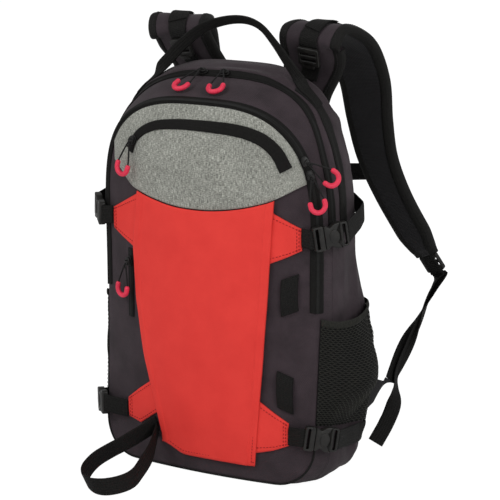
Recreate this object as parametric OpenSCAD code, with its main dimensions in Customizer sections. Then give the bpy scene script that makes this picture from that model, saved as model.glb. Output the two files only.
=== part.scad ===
// Ski backpack standing on its base: front towards -Y, wearer's side towards +Y, Z up.
// The origin is the middle of the base, on the surface that the pack stands on.

/* [Pack body] */
// Height of the pack body
pack_h = 508; // [480:2:540]
// Width of the pack body at its widest
pack_w = 320; // [296:2:344]
// Depth from the foot of the back to the fullest part of the front
pack_d = 170; // [156:2:190]
// Distance from the origin to the fullest part of the front
front_reach = 78; // [72:1:84]
// How far the back leans forward at the top
back_lean = 28; // [16:1:36]
// Height at which the sides start to turn in towards the top
shoulder_z = 300; // [280:5:320]
// Radius of the lower corners at the back, seen from the front
foot_r = 30; // [24:1:40]
// Height of the fullest part of the front
full_z = 230; // [210:5:250]
// How far the front falls back towards its sides
front_wrap = 36; // [26:1:42]
// How far the front falls back towards its top and foot
front_round = 14; // [8:1:18]

/* [Back] */
// Thickness of the padded back panel
pad_t = 13; // [8:0.5:14]
// Thickness of the stiffening sheet behind the padding
sheet_t = 2; // [1.5:0.1:2.2]
// Width of the air channel down the middle of the padding
channel_w = 34; // [20:1:50]

/* [Fabric and webbing] */
// Thickness of one layer of panel fabric
cloth_t = 1.6; // [1:0.1:2.4]
// Width of the compression webbing
web_w = 25; // [18:0.5:27]
// Thickness of the webbing
web_t = 1.8; // [1.2:0.1:2.2]
// Width of a zip with its tape
zip_w = 10; // [7:0.5:12]
// Thickness of a zip
zip_t = 1.8; // [1.2:0.1:2.4]
// How far the goggle pocket stands out
goggle_depth = 7; // [4:0.5:10]
// How far the right side pocket stands off the pack
pocket_depth = 36; // [20:1:42]
// How far the left side pocket, which lies flatter, stands off the pack
left_depth = 17; // [14:1:42]
// Height of the side pockets' mouths
pocket_z = 198; // [180:2:216]
// Height of the grab handle's loop
handle_h = 73; // [60:1:80]

/* [Heights of the straps] */
// Height of the upper wings and their buckles
upper_z = 316; // [300:1:324]
// Height of the lower wings and their buckles
lower_z = 68; // [62:1:76]
// Height of the upper straps at the back
upper_back_z = 346; // [330:1:352]
// Height of the lower straps at the back
lower_back_z = 40; // [36:1:50]

/* [Shoulder straps] */
// Width of a shoulder strap at the top
strap_w = 84; // [66:1:90]
// Width of a shoulder strap at its lower end
strap_end_w = 48; // [40:1:60]
// Thickness of a shoulder strap
strap_t = 14; // [10:0.5:16]
// Width of the adjusting webbing
adjust_w = 20; // [15:0.5:24]

/* [Buckles and zip pulls] */
// Length of a buckle's female half
buckle_l = 30; // [26:0.5:34]
// Thickness of a buckle
buckle_t = 9; // [8:0.5:11]
// Wall of a buckle beside the webbing
buckle_wall = 3.2; // [2.6:0.1:4]
// Outer radius of a zip pull's grip
grip_r = 12; // [10:0.5:13]
// Thickness of a zip pull's grip
grip_d = 6.2; // [5:0.1:7]
// Length from a slider's bail to the bend of its grip
pull_l = 36; // [30:1:40]

/* [Hidden] */
seat = 0.6;
$fn = 32;

half_w = pack_w / 2;
mid_z = pack_h / 2 - 10;
wrap_ease = 22;
top_turn = 108;
arch_n = 3;
pad_room = pad_t + sheet_t + 1;

// Loft sections from back to front: inset from the widest outline, drop below the top, height
// of the foot, share of the way from back to front, change of that share at the top, shift in Y,
// and size of the lower corners
BACK = 0;
CORNER = 1;
SIDE = 2;
SEAM = 3;
MAIN_ZIP = 4;
FRONT_ZIP = 5;
section = [
    [36, 12, 12, 0, 0, -pad_room, 1],
    [12, 2, 0, 0, 0, -pad_room - 8, 1],
    [2, -2, 0, 0.34, -0.04, 0, 1],
    [0, 3, 0, 0.62, -0.12, 0, 1.1],
    [2, 12, 0, 0.83, -0.23, 0, 1.3],
    [9.5, 45, 3, 1, 0, 0, 1.6]
];
function corner_r(k) = foot_r * section[k][6];

function mix(a, b, t) = a * (1 - t) + b * t;
function ease(t) = let(s = min(max(t, 0), 1)) s * s * (3 - 2 * s);
function unit(v) = v / norm(v);
function last(list) = list[len(list) - 1];
function centre(list) = [for (a = [0:2]) [for (p = list) p[a]] * [for (p = list) 1 / len(list)]];

// Faces of the back and the front as functions of height and of place
function back_y(z) = pack_d - front_reach - back_lean * pow(z / pack_h, 2);
function front_y(x, z) =
    let(t = (z - full_z) / full_z)
    -front_reach + front_round * t * t + (front_wrap - wrap_ease * t * t) * pow(x / (half_w - 10), 2);
function depth_y(k, x, z) =
    let(g = section[k][3] + section[k][4] * ease((z - pack_h + top_turn) / 100))
    mix(back_y(z), front_y(x, z), g) + section[k][5];

// Half outline of a section: flat foot, round lower corner, straight side and arched top
function half_outline(k) =
    let(a = half_w - section[k][0], foot = section[k][2], r = corner_r(k),
        rise = pack_h - section[k][1] - shoulder_z)
    concat(
        [for (i = [0:4]) [(a - r) * i / 5, foot]],
        [for (i = [0:5]) [a - r + r * sin(18 * i), foot + r - r * cos(18 * i)]],
        [for (i = [1:6]) [a, mix(foot + r, shoulder_z, i / 6)]],
        [for (i = [1:14])
            let(c = cos(90 * i / 14), s = sin(90 * i / 14),
                q = pow(pow(c, arch_n) + pow(s, arch_n), -1 / arch_n))
            [a * c * q, shoulder_z + rise * s * q]]
    );
function outline(k) =
    let(h = half_outline(k), n = len(h))
    concat(h, [for (i = [n - 2:-1:1]) [-h[i].x, h[i].y]]);
function ring(k, s = 1, shift = 0) =
    [for (p = outline(k)) let(x = p.x * s, z = mid_z + (p.y - mid_z) * s) [x, depth_y(k, x, z) + shift, z]];

// Half width of a section at a height, and the point of its right side there
function section_x(k, z) =
    let(a = half_w - section[k][0], low = section[k][2] + corner_r(k), r = corner_r(k),
        rise = pack_h - section[k][1] - shoulder_z)
    z > shoulder_z ? a * pow(1 - pow((z - shoulder_z) / rise, arch_n), 1 / arch_n)
    : z < low ? a - r + sqrt(max(r * r - pow(low - z, 2), 0))
    : a;
function side(k, z) = let(x = section_x(k, z)) [x, depth_y(k, x, z), z];
// Point of the right side between two sections, lifted off the cloth
function side_mid(k, z) =
    let(i = min(max(floor(k), 0), FRONT_ZIP - 1))
    mix(side(i, z), side(i + 1, z), k - i);
function side_normal(k, z) =
    let(back = side_mid(max(k - 0.5, 0), z) - side_mid(min(k + 0.5, FRONT_ZIP), z),
        up = side_mid(k, z + 1) - side_mid(k, z - 1))
    unit(cross(back, up));
function side_at(k, z, lift) = side_mid(k, z) + side_normal(k, z) * lift;
function front_at(x, z, lift) = [x, front_y(x, z) - lift, z];

// Closed solid through rings of equal length, with a point in the middle of each end
module loft(rings) {
    n = len(rings[0]);
    m = len(rings);
    ends = [centre(rings[0]), centre(last(rings))];
    points = concat([for (r = rings) each r], ends);
    walls = [for (j = [0:m - 2]) for (i = [0:n - 1])
        let(a = j * n + i, b = j * n + (i + 1) % n) each [[a, a + n, b], [b, a + n, b + n]]];
    caps = [for (i = [0:n - 1]) let(b = (i + 1) % n, top = (m - 1) * n)
        each [[i, b, m * n], [top + b, top + i, m * n + 1]]];
    polyhedron(points, concat(walls, caps));
}

// Sheet between two grids of points: rows of equal length, outside first
module sheet(outer, inner) {
    rows = len(outer);
    cols = len(outer[0]);
    count = rows * cols;
    points = concat([for (r = outer) each r], [for (r = inner) each r]);
    skin = [for (j = [0:rows - 2]) for (i = [0:cols - 2])
        let(a = j * cols + i, b = a + cols)
        each [[a, a + 1, b], [a + 1, b + 1, b],
            [count + a, count + b, count + a + 1], [count + a + 1, count + b, count + b + 1]]];
    sides = [for (j = [0:rows - 2]) let(a = j * cols, b = a + cols, c = a + cols - 1, d = c + cols)
        each [[a, b, count + a], [b, count + b, count + a],
            [c, count + c, d], [d, count + c, count + d]]];
    top = (rows - 1) * cols;
    ends = [for (i = [0:cols - 2]) let(a = i, b = top + i)
        each [[a, count + a, a + 1], [a + 1, count + a, count + a + 1],
            [b, b + 1, count + b], [b + 1, count + b + 1, count + b]]];
    polyhedron(points, concat(skin, sides, ends));
}

// Ribbon along a path, with its own width and face direction at each point
module ribbon(path, across, face, w, t, lift = 0) {
    function row(i, h) = [for (s = [-0.5, 0.5]) path[i] + across[i] * w * s + face[i] * h];
    sheet([for (i = [0:len(path) - 1]) row(i, lift + t)], [for (i = [0:len(path) - 1]) row(i, lift)]);
}

// Frame at a point, with X carried to the first direction and Z to the second
module at_frame(p, along, face) {
    b = cross(face, along);
    multmatrix([for (i = [0:2]) [along[i], b[i], face[i], p[i]]]) children();
}
module mirror_if(left) {
    if (left)
        mirror([1, 0, 0]) children();
    else
        children();
}
module round_rect(l, w, r) {
    square([l - 2 * r, w], center = true);
    square([l, w - 2 * r], center = true);
    for (x = [-1, 1], y = [-1, 1])
        translate([x * (l / 2 - r), y * (w / 2 - r)]) circle(r);
}

// Pack body
wall_gap = 2;
wall_rings = [0.25, 0.5, 0.75, 0.9];
module main_compartment() {
    color("#3a3033")
        loft(concat(
            [for (s = wall_rings) ring(BACK, s)],
            [for (k = [BACK:MAIN_ZIP]) ring(k)],
            [for (i = [1:len(wall_rings)]) ring(MAIN_ZIP, wall_rings[len(wall_rings) - i])]));
}
module front_compartment() {
    color("#3a3033")
        loft(concat(
            [for (s = wall_rings) ring(MAIN_ZIP, s, -wall_gap)],
            [ring(MAIN_ZIP, 1, -wall_gap * 0.4), ring(FRONT_ZIP)],
            [for (s = [0.94, 0.8, 0.6, 0.38, 0.16]) ring(FRONT_ZIP, s)]));
}

// Back of the pack: two pads with a channel between them, over a stiff sheet
pad_edge = 4;
channel_share = 0.3;
pad_round = 25;
channel_round = 14;
back_foot = 30;
back_top = pack_h - 34;
back_rim = 8;
sheet_inset = 8;
sheet_gap = 0.3;
function back_half(z) = section_x(BACK, min(z, back_top)) - back_rim;
module back_panel() {
    rows = 14;
    cols = 12;
    function place(j, i) =
        let(z = mix(back_foot, back_top, j / rows), u = 2 * i / cols - 1) [back_half(z) * u, z, u];
    function swell(p) =
        let(rim = ease((1 - abs(p.z)) * cols / 2.4),
            ends = ease((p.y - back_foot) / pad_round) * ease((back_top - p.y) / pad_round),
            groove = ease((abs(p.x) - channel_w / 2) / channel_round))
        pad_edge + (pad_t - pad_edge) * rim * ends * mix(channel_share, 1, groove);
    function grid(share) =
        [for (j = [0:rows]) [for (i = [0:cols]) let(p = place(j, i))
            [p.x, back_y(p.y) - pad_t + share * swell(p), p.y]]];
    color("#242224") sheet(grid(1), grid(0));
}
module frame_sheet() {
    rows = 8;
    function edge(j, s, y) =
        let(z = mix(back_foot + sheet_inset, back_top - sheet_inset, j / rows))
        [s * (back_half(z) - sheet_inset), back_y(z) - pad_t - y, z];
    function grid(y) = [for (j = [0:rows]) [edge(j, -1, y), edge(j, 1, y)]];
    color("#8a8d90") sheet(grid(sheet_gap), grid(sheet_gap + sheet_t));
}

// Zips and seam tape: bands along one section of the loft, from a height on one side over the top
function arch_points(k, low) = [for (p = half_outline(k)) if (p.y > low) p];
function band_point(k, p) = [p.x, depth_y(k, p.x, p.y), p.y];
function band_path(k, low) =
    let(h = concat([[section_x(k, low), low]], arch_points(k, low)), n = len(h))
    [for (i = [0:2 * n - 2]) band_point(k, i < n ? h[i] : [-h[2 * n - 2 - i].x, h[2 * n - 2 - i].y])];
// Direction across a band, from the sections in front of it and behind it
function outline_point(k, p, q) =
    let(a = (half_w - section[q][0]) / (half_w - section[k][0]),
        b = p.z > shoulder_z
            ? (pack_h - section[q][1] - shoulder_z) / (pack_h - section[k][1] - shoulder_z) : 1,
        x = p.x * a, z = p.z > shoulder_z ? shoulder_z + (p.z - shoulder_z) * b : p.z)
    [x, depth_y(q, x, z), z];
function front_inner(p) =
    let(x = p.x * 0.94, z = mix(mid_z, p.z, 0.94)) [x, depth_y(FRONT_ZIP, x, z), z];
function band_fore(k, p) = unit((k == FRONT_ZIP ? front_inner(p) : outline_point(k, p, k + 1)) - p);
function band_aft(k, p) = unit(outline_point(k, p, k - 1) - p);
function band_across(k, path) = [for (p = path) unit(band_fore(k, p) - band_aft(k, p))];
function tangents(path) =
    [for (i = [0:len(path) - 1]) unit(path[min(i + 1, len(path) - 1)] - path[max(i - 1, 0)])];
function band_face(k, path) =
    let(t = tangents(path), a = band_across(k, path))
    [for (i = [0:len(path) - 1]) unit(cross(t[i], a[i]))];
// The band bends along its middle, where the cloth in front of it and behind it meet
module band(k, path, w, t) {
    face = band_face(k, path);
    function row(i, h) =
        [for (d = [band_aft(k, path[i]), [0, 0, 0], band_fore(k, path[i])])
            path[i] + d * w / 2 + face[i] * h];
    n = len(path) - 1;
    sheet([for (i = [0:n]) row(i, seat + t)], [for (i = [0:n]) row(i, seat)]);
}
main_zip_low = 232;
front_zip_low = 222;
module main_zip() {
    color("#1f1e1b") band(MAIN_ZIP, band_path(MAIN_ZIP, main_zip_low), zip_w, zip_t);
}
module front_zip() {
    color("#1f1e1b") band(FRONT_ZIP, band_path(FRONT_ZIP, front_zip_low), zip_w, zip_t);
}

// Front of the pack: goggle pocket, stash zip, red panel with its four wings, and tool loops
pocket_half = half_w - 30;
pocket_low = 341;
pocket_corner = 95;
pocket_sag = 16;
end_rise = 18;
end_run = 46;
end_start = pocket_corner - 3;
arch_gap = 9;
function goggle_low(x) =
    pocket_low + pocket_sag * pow(x / pocket_corner, 2) + end_rise * ease((abs(x) - end_start) / end_run);
function goggle_top(x) =
    let(a = half_w - section[FRONT_ZIP][0] - arch_gap,
        rise = pack_h - section[FRONT_ZIP][1] - arch_gap - shoulder_z)
    shoulder_z + rise * pow(1 - pow(abs(x) / a, arch_n), 1 / arch_n);
function goggle_lift(x, z) =
    let(u = 1 - pow(x / pocket_half, 2), v = (z - goggle_low(x)) / (goggle_top(x) - goggle_low(x)))
    seat + cloth_t + (goggle_depth - cloth_t) * sqrt(max(u, 0)) * sqrt(max(4 * v * (1 - v), 0));
module goggle_pocket() {
    cols = 18;
    rows = 7;
    function place(i, j) =
        let(x = pocket_half * (2 * i / cols - 1), z = mix(goggle_low(x), goggle_top(x), j / rows)) [x, z];
    function grid(swollen) =
        [for (i = [0:cols]) [for (j = [0:rows]) let(p = place(i, j))
            front_at(p.x, p.y, swollen ? goggle_lift(p.x, p.y) : seat)]];
    color("#989a92") sheet(grid(true), grid(false));
}
// Middle of the goggle zip: share of the pocket's half width, and height measured from the pack's top
goggle_route = [[-0.75, -106], [-0.71, -91], [-0.615, -79], [-0.45, -70], [-0.23, -66], [0, -65],
    [0.23, -66], [0.46, -72], [0.66, -83], [0.815, -97], [0.9, -111]];
function front_face(x, z) =
    unit([front_y(x + 1, z) - front_y(x - 1, z), -2, front_y(x, z + 1) - front_y(x, z - 1)]);
goggle_path = [for (p = goggle_route)
    let(x = p.x * pocket_half, z = pack_h + p.y) front_at(x, z, goggle_lift(x, z))];
function pocket_y(x, z) = front_y(x, z) - goggle_lift(x, z);
function pocket_face(x, z) =
    unit([pocket_y(x + 1, z) - pocket_y(x - 1, z), -2, pocket_y(x, z + 1) - pocket_y(x, z - 1)]);
goggle_faces = [for (p = goggle_path) pocket_face(p.x, p.z)];
goggle_across = let(t = tangents(goggle_path)) [for (i = [0:len(t) - 1]) unit(cross(goggle_faces[i], t[i]))];
module goggle_zip() {
    color("#1f1e1b") ribbon(goggle_path, goggle_across, goggle_faces, zip_w, zip_t, seat);
}
// Widest place of the red panel on the left, and the clear way from there to the middle of the stash zip
panel_side = 96;
stash_clear = 7;
stash_x = -panel_side - stash_clear;
stash_low = 190;
stash_top = 278;
module stash_zip() {
    steps = [for (j = [0:5]) mix(stash_low, stash_top, j / 5)];
    across = [for (z = steps) unit(front_at(stash_x - 1, z, 0) - front_at(stash_x + 1, z, 0))];
    color("#1f1e1b")
        ribbon([for (z = steps) front_at(stash_x, z, 0)], across, [for (z = steps) front_face(stash_x, z)],
            zip_w, zip_t, seat);
}

panel_foot = 24;
wing_lift = seat + cloth_t;
panel_lift = wing_lift + seat;
function panel_left(z) =
    lookup(z, [[36, -54], [76, -62], [138, -77], [214, -91], [285, -panel_side], [357, -88]]);
function panel_right(z) = lookup(z, [[24, 78], [108, 86], [200, 94], [281, 99], [357, 103]]);
// The foot of the panel rises towards the ski loop: how far, and where the rise starts and ends
panel_cut = 12;
cut_start = -18;
cut_end = -54;
function panel_low(x) = panel_foot + panel_cut * ease((x - cut_start) / (cut_end - cut_start));
module front_panel() {
    cols = 10;
    rows = 18;
    function place(j, i) =
        let(v = j / rows, z0 = mix(panel_foot, pocket_low + pocket_sag, v),
            x = mix(panel_left(z0), panel_right(z0), i / cols))
        [x, mix(panel_low(x), goggle_low(x) - seat - 0.5, v)];
    function grid(lift) =
        [for (j = [0:rows]) [for (i = [cols:-1:0]) let(p = place(j, i)) front_at(p.x, p.y, lift)]];
    color("#d8403c") sheet(grid(panel_lift + cloth_t), grid(panel_lift));
}
// A wing runs from under the panel's edge to its tip: distance from the middle of the pack,
// then its top and its foot as steps from the height of its buckle
upper_wing = [[84, 34, -32], [half_w - 42, 25, -22], [half_w - 26, 15, -14]];
lower_wing = [[52, 46, -24], [half_w - 58, 26, -21], [half_w - 40, 15, -13]];
lower_wing_left = [[57, 54, 8], [half_w - 70, 31, -15], [half_w - 50, 15, -10]];
module wing(stations, z) {
    cols = 3;
    rows = 3;
    n = len(stations) - 1;
    function place(j, i) =
        let(k = min(floor(j / rows), n - 1), s = mix(stations[k], stations[k + 1], j / rows - k))
        [s.x, z + mix(s.z, s.y, i / cols)];
    function grid(lift) =
        [for (j = [0:rows * n]) [for (i = [0:cols]) let(p = place(j, i)) front_at(p.x, p.y, lift)]];
    sheet(grid(wing_lift), grid(seat));
}
module panel_wings() {
    color("#d8403c")
        for (left = [false, true])
            mirror_if(left) {
                wing(upper_wing, upper_z);
                wing(left ? lower_wing_left : lower_wing, lower_z);
            }
}
tool_loop_w = 19;
tool_loop_l = 46;
tool_loop_slant = 8;
tool_loop_rise = 2.4;
tool_loop_at = [[half_w - 39, 244], [half_w - 44, 122]];
module tool_loops() {
    rows = 6;
    function point(c, v, s, lift) =
        front_at(c.x + tool_loop_w * s, c.y + tool_loop_l * (v - 0.5) + tool_loop_slant * s * (1 - 2 * v),
            lift + tool_loop_rise * ease(4 * v * (1 - v)));
    function grid(c, lift) = [for (j = [0:rows]) [for (s = [0.5, -0.5]) point(c, j / rows, s, lift)]];
    color("#1b1b1a")
        for (c = tool_loop_at)
            sheet(grid(c, seat + web_t), grid(c, seat));
}

// Compression straps: height in front and at the back, and how far the buckle's mouth lies before
// the front edge of the side
upper_strap = [upper_z, upper_back_z, -6];
lower_strap = [lower_z, lower_back_z, 3];
// Height of a strap's middle at a place between two sections
function strap_z(strap, k) = mix(strap[1], strap[0], k / FRONT_ZIP);

// Side pockets: a stretched mesh with an elastic mouth
mesh_front = 4.85;
mesh_back = 1.2;
mesh_t = 1.2;
mesh_gap = 10;
mouth_lift = 26;
binding_w = 8;
binding_t = 2.4;
binding_gap = 0.3;
function mesh_k(u) = mix(mesh_front, mesh_back, u);
function mesh_low(u) = strap_z(lower_strap, mesh_k(u)) + web_w / 2 + mesh_gap;
// The mouth dips behind its front end and rises again to the back
function mesh_top(u) = pocket_z + mouth_lift * (pow(u - 0.4, 2) * 2 + 0.2 * u);
// The mesh is fullest towards the back, and drawn in a little at the mouth
function mesh_bulge(u, v) = pow(sin(180 * pow(u, 1.25)), 0.8) * mix(ease(v * 2.2), 0.86, ease(2 * v - 1));
module pocket_skin(low, high, t, steps, depth) {
    cols = 10;
    function point(u, v, lift) =
        side_at(mesh_k(u), mix(mesh_low(u), mesh_top(u), min(v, 1)) + binding_w * max(v - 1, 0),
            seat + lift + depth * mesh_bulge(u, min(v, 1)));
    function grid(lift) =
        [for (j = [0:steps]) [for (i = [cols:-1:0]) point(i / cols, mix(low, high, j / steps), lift)]];
    sheet(grid(t), grid(0));
}
module mesh_pocket_right() {
    color("#1c1b1c") pocket_skin(0, 1, mesh_t, 7, pocket_depth);
}
module mesh_pocket_left() {
    color("#1c1b1c") mirror_if(true) pocket_skin(0, 1, mesh_t, 7, left_depth);
}
module pocket_bindings() {
    color("#232222")
        for (left = [false, true])
            mirror_if(left)
                pocket_skin(1 + binding_gap / binding_w, 2, binding_t, 1, left ? left_depth : pocket_depth);
}

// Seam tape down both shoulders, ending in the feet of the grab handle
tape_w = 10;
tape_low = strap_z(upper_strap, SEAM) + web_w / 2 + 3;
handle_foot_x = half_w - 54;
function tape_points() = [for (p = band_path(SEAM, tape_low)) if (p.x > handle_foot_x - 4) p];
module seam_tape() {
    color("#1b1b1a")
        for (left = [false, true])
            mirror_if(left) band(SEAM, tape_points(), tape_w, web_t);
}
handle_w = 15;
handle_gap = 0.75;
function arch_at(k, x) =
    let(a = half_w - section[k][0], rise = pack_h - section[k][1] - shoulder_z,
        z = shoulder_z + rise * pow(1 - pow(abs(x) / a, arch_n), 1 / arch_n))
    [x, depth_y(k, x, z), z];
handle_y = arch_at(SEAM, handle_foot_x).y;
handle_z = arch_at(SEAM, handle_foot_x - 2 - handle_w / 2).z + web_t / 2 + handle_gap;
// Middle of the handle: share of the way from the middle to a foot, and share of its height
handle_shape = [[-1, 0], [-0.96, 0.08], [-0.83, 0.26], [-0.615, 0.55], [-0.345, 0.82], [-0.04, 0.97],
    [0.23, 1], [0.44, 0.9], [0.615, 0.66], [0.79, 0.36], [0.95, 0.08], [1, 0]];
module grab_handle() {
    path = [for (p = handle_shape) [p.x * (handle_foot_x - 2), handle_y, handle_z + p.y * handle_h]];
    t = tangents(path);
    n = len(path);
    across = [for (i = [0:n - 1]) i == 0 ? [-1, 0, 0] : i == n - 1 ? [1, 0, 0] : [-t[i].z, 0, t[i].x]];
    color("#1f1d1c")
        ribbon(path, across, [for (p = path) [0, -1, 0]], handle_w, web_t, -web_t / 2);
}

// Shoulder straps: middle of the padding from the back panel over the top and down behind the pack,
// as steps from the side, from the top edge of the back and from the top
strap_route = [[-76, 16.5, -96], [-76, 16.7, -78], [-74, 11.9, -40], [-71, 6, -10], [-69, -8, 13],
    [-66, -19, 33], [-57, 0, 43], [-45, 38, 22], [-38, 67, -24], [-37, 83, -78], [-32, 96, -128],
    [-18, 113, -178], [2, 131, -226], [18, 145, -260]];
strap_n = len(strap_route) - 1;
strap_path = [for (p = strap_route) [half_w + p.x, back_y(pack_h) + strap_t / 2 - 7 + p.y, pack_h + p.z]];
// Smooth curve through the points of a path, at a place counted in points
function spline(path, u) =
    let(n = len(path) - 1, i = min(floor(u), n - 1), t = u - i, b = path[i], c = path[i + 1],
        a = i > 0 ? path[i - 1] : 2 * b - c, d = i < n - 1 ? path[i + 2] : 2 * c - b)
    b + t / 2 * (c - a + t * (2 * a - 5 * b + 4 * c - d + t * (3 * (b - c) + d - a)));
function strap_at(u) = spline(strap_path, u);
function strap_along(u) = unit(strap_at(min(u + 0.1, strap_n)) - strap_at(max(u - 0.1, 0)));
function strap_across(u) = let(t = strap_along(u)) unit([1, 0, 0] - t * t.x);
function strap_face(u) = cross(strap_across(u), strap_along(u));
function strap_width(u) = mix(strap_w, strap_end_w, ease((u - 5) / 7)) * mix(1, 0.7, ease(u - strap_n + 1));
strap_edge = 5;
strap_slices = 3;
module shoulder_strap_right() {
    function slice(u) =
        let(w = strap_width(u) / 2, e = strap_edge, t = strap_t / 2 * (u == 0 || u == strap_n ? 0.7 : 1))
        [for (q = [[-w, 0], [-w + e, t], [0, t], [w - e, t], [w, 0], [w - e, -t], [0, -t], [-w + e, -t]])
            strap_at(u) + strap_across(u) * q.x + strap_face(u) * q.y];
    color("#3a3236") loft([for (i = [0:strap_n * strap_slices]) slice(i / strap_slices)]);
}
module shoulder_strap_left() {
    mirror_if(true) shoulder_strap_right();
}

// Load lifters: webbing on the outer face of each strap, held at its foot by a ladder lock
lifter_from = 14 / strap_slices;
lifter_to = 20 / strap_slices;
lifter_tail = [8 / strap_slices, 11 / strap_slices];
function lifter_at(u) = strap_at(u) + strap_face(u) * (strap_t / 2 + seat);
module lifter_webbing() {
    color("#1b1b1a")
        for (left = [false, true], run = [[lifter_from, lifter_to], lifter_tail]) {
            stations = [for (u = [run[0]:1 / strap_slices:run[1] + 0.01]) u];
            mirror_if(left)
                ribbon([for (u = stations) lifter_at(u)], [for (u = stations) -strap_across(u)],
                    [for (u = stations) strap_face(u)], web_w, web_t);
        }
}
lock_t = 5;
lock_bar = 3.5;
lock_slot = 4.4;
lock_l = 5 * lock_bar + 2 * lock_slot - 0.8;
tongue_l = 4;
lock_gap = 0.4;
// Ladder lock: a frame with two slots and a thumb tongue, webbing running along X
module ladder_lock(w) {
    difference() {
        translate([0, 0, -lock_t / 2]) linear_extrude(lock_t) round_rect(lock_l, w + 2 * lock_bar, 2);
        for (x = [-1, 1])
            translate([x * (lock_bar + lock_slot) / 2, 0, 0])
                cube([lock_slot, w, 2 * lock_t], center = true);
    }
    translate([lock_l / 2, 0, 0]) linear_extrude(lock_t / 2) round_rect(2 * tongue_l, w * 0.7, 1.5);
}
module lifter_locks() {
    along = -strap_along(lifter_from);
    face = strap_face(lifter_from);
    foot = lifter_at(lifter_from) + along * (lock_l / 2 + lock_gap) + face * (lock_t / 2 + 2 * lock_gap);
    color("#201f1f")
        for (left = [false, true])
            mirror_if(left) at_frame(foot, along, face) ladder_lock(web_w - 4);
}
end_along = strap_along(strap_n);
end_face = strap_face(strap_n);
end_across = strap_across(strap_n);
strap_tip = strap_at(strap_n) + end_along * (lock_l / 2 + lock_gap);
module strap_lock_right() {
    color("#201f1f") at_frame(strap_tip, end_along, end_face) ladder_lock(adjust_w + 1);
}
module strap_lock_left() {
    mirror_if(true) strap_lock_right();
}

// Anchor fins at the lower corners of the back, and the webbing that runs from them to the locks
fin_t = 3;
fin_half = 24;
fin_z = strap_z(lower_strap, CORNER) + web_w / 2 + fin_half + 2;
fin_base = side(CORNER, fin_z);
fin_tip = [half_w + 5, pack_d - 42, fin_z + 13];
fin_along = unit([fin_tip.x - fin_base.x, fin_tip.y - fin_base.y, 0]);
fin_face = [fin_along.y, -fin_along.x, 0];
load_start = strap_tip + end_along * (lock_l / 2 + lock_gap) - end_face * (lock_t / 2 - 0.2);
load_dir = unit(load_start - fin_tip);
fin_edge = unit(cross(load_dir, fin_face));
module anchor_fins() {
    root = fin_base + fin_along * 2 * seat + fin_face;
    half = adjust_w / 2;
    middle = mix(root, fin_tip, 0.5);
    function row(p, edge, h) = [for (s = [-1, 1]) p + edge * s + fin_face * h];
    function grid(h) = [row(root, [0, 0, fin_half], h), row(middle, [0, 0, mix(fin_half, half, 0.6)], h),
        row(fin_tip, fin_edge * half, h)];
    color("#242224")
        for (left = [false, true])
            mirror_if(left) sheet(grid(fin_t), grid(0));
}
// The webbing turns a quarter on its way to the fin; its free tail is given as steps from the lock
lead_l = 5;
load_turns = 8;
tail_twist = 65;
tail_route = [[0, 0, 0], [-3, -7, -14], [-8, -21, -40], [-16, -46, -90], [-20, -64, -132], [-19, -77, -160],
    [-24, -91, -190], [-32, -103, -216]];
module load_webbing_right() {
    finish = fin_tip + load_dir * seat + fin_face * fin_t / 2;
    leave = load_start + end_along * lead_l;
    load = concat([load_start], [for (i = [0:load_turns]) mix(leave, finish, i / load_turns)]);
    load_t = tangents(load);
    load_across = [for (i = [0:load_turns + 1])
        let(a = mix(end_across, fin_edge, ease((i - 1) / load_turns)))
        unit(a - load_t[i] * (load_t[i] * a))];
    load_face = [for (i = [0:load_turns + 1]) cross(load_t[i], load_across[i])];
    tail_start = strap_tip + end_along * (lock_l / 2 + tongue_l + lock_gap) + end_face * (lock_t / 2 - 0.5);
    tail = concat([tail_start], [for (p = tail_route) tail_start + end_along * lead_l + p]);
    tail_t = tangents(tail);
    n = len(tail) - 1;
    tail_across = [for (i = [0:n])
        let(t = tail_t[i], a = unit(end_across - t * (t * end_across)),
            turn = tail_twist * sin(180 * max(i - 1, 0) / (n - 1)))
        a * cos(turn) + cross(t, a) * sin(turn)];
    tail_face = [for (i = [0:n]) cross(tail_t[i], tail_across[i])];
    color("#1b1b1a") {
        ribbon(load, load_across, load_face, adjust_w, web_t, -web_t / 2);
        ribbon(tail, tail_across, tail_face, adjust_w, web_t, -web_t / 2);
    }
}
module load_webbing_left() {
    mirror_if(true) load_webbing_right();
}

// Side-release buckles in their own frame: X along the strap from the mouth to the back,
// Y across it and Z out of the pack
buckle_w = web_w + 2 * buckle_wall;
prong_l = 18;
prong_t = 4;
base_l = 13;
mouth_gap = 0.5;
slot_w = 3.4;
module buckle_female(w, l, t) {
    depth = prong_l + 1.5;
    difference() {
        linear_extrude(t)
            difference() {
                translate([l / 2, 0]) round_rect(l, w, 3);
                for (s = [-1, 1])
                    translate([6.5, s * (w / 2 + 1.2)]) circle(4.6);
            }
        translate([-1, -w / 2 + buckle_wall + 1, (t - prong_t) / 2 - 0.5])
            cube([depth + 1, w - 2 * buckle_wall - 2, prong_t + 1]);
        translate([l - 3 - slot_w, -w / 2 + buckle_wall, -1]) cube([slot_w, w - 2 * buckle_wall, t + 2]);
    }
}
module buckle_male(w, t) {
    inner = w - 2 * buckle_wall - 4;
    difference() {
        translate([-mouth_gap - base_l / 2, 0, 0.5]) linear_extrude(t - 1) round_rect(base_l, w - 1, 2.5);
        translate([-mouth_gap - base_l + 3, -w / 2 + buckle_wall, -1])
            cube([slot_w, w - 2 * buckle_wall, t + 2]);
    }
    for (s = [-1, 1])
        translate([-mouth_gap - 1, s * (inner / 2 - 2) - 2, (t - prong_t) / 2])
            cube([prong_l + 1, 4, prong_t]);
    translate([-mouth_gap - 1, -2, (t - prong_t) / 2]) cube([prong_l - 3, 4, prong_t]);
}

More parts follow.
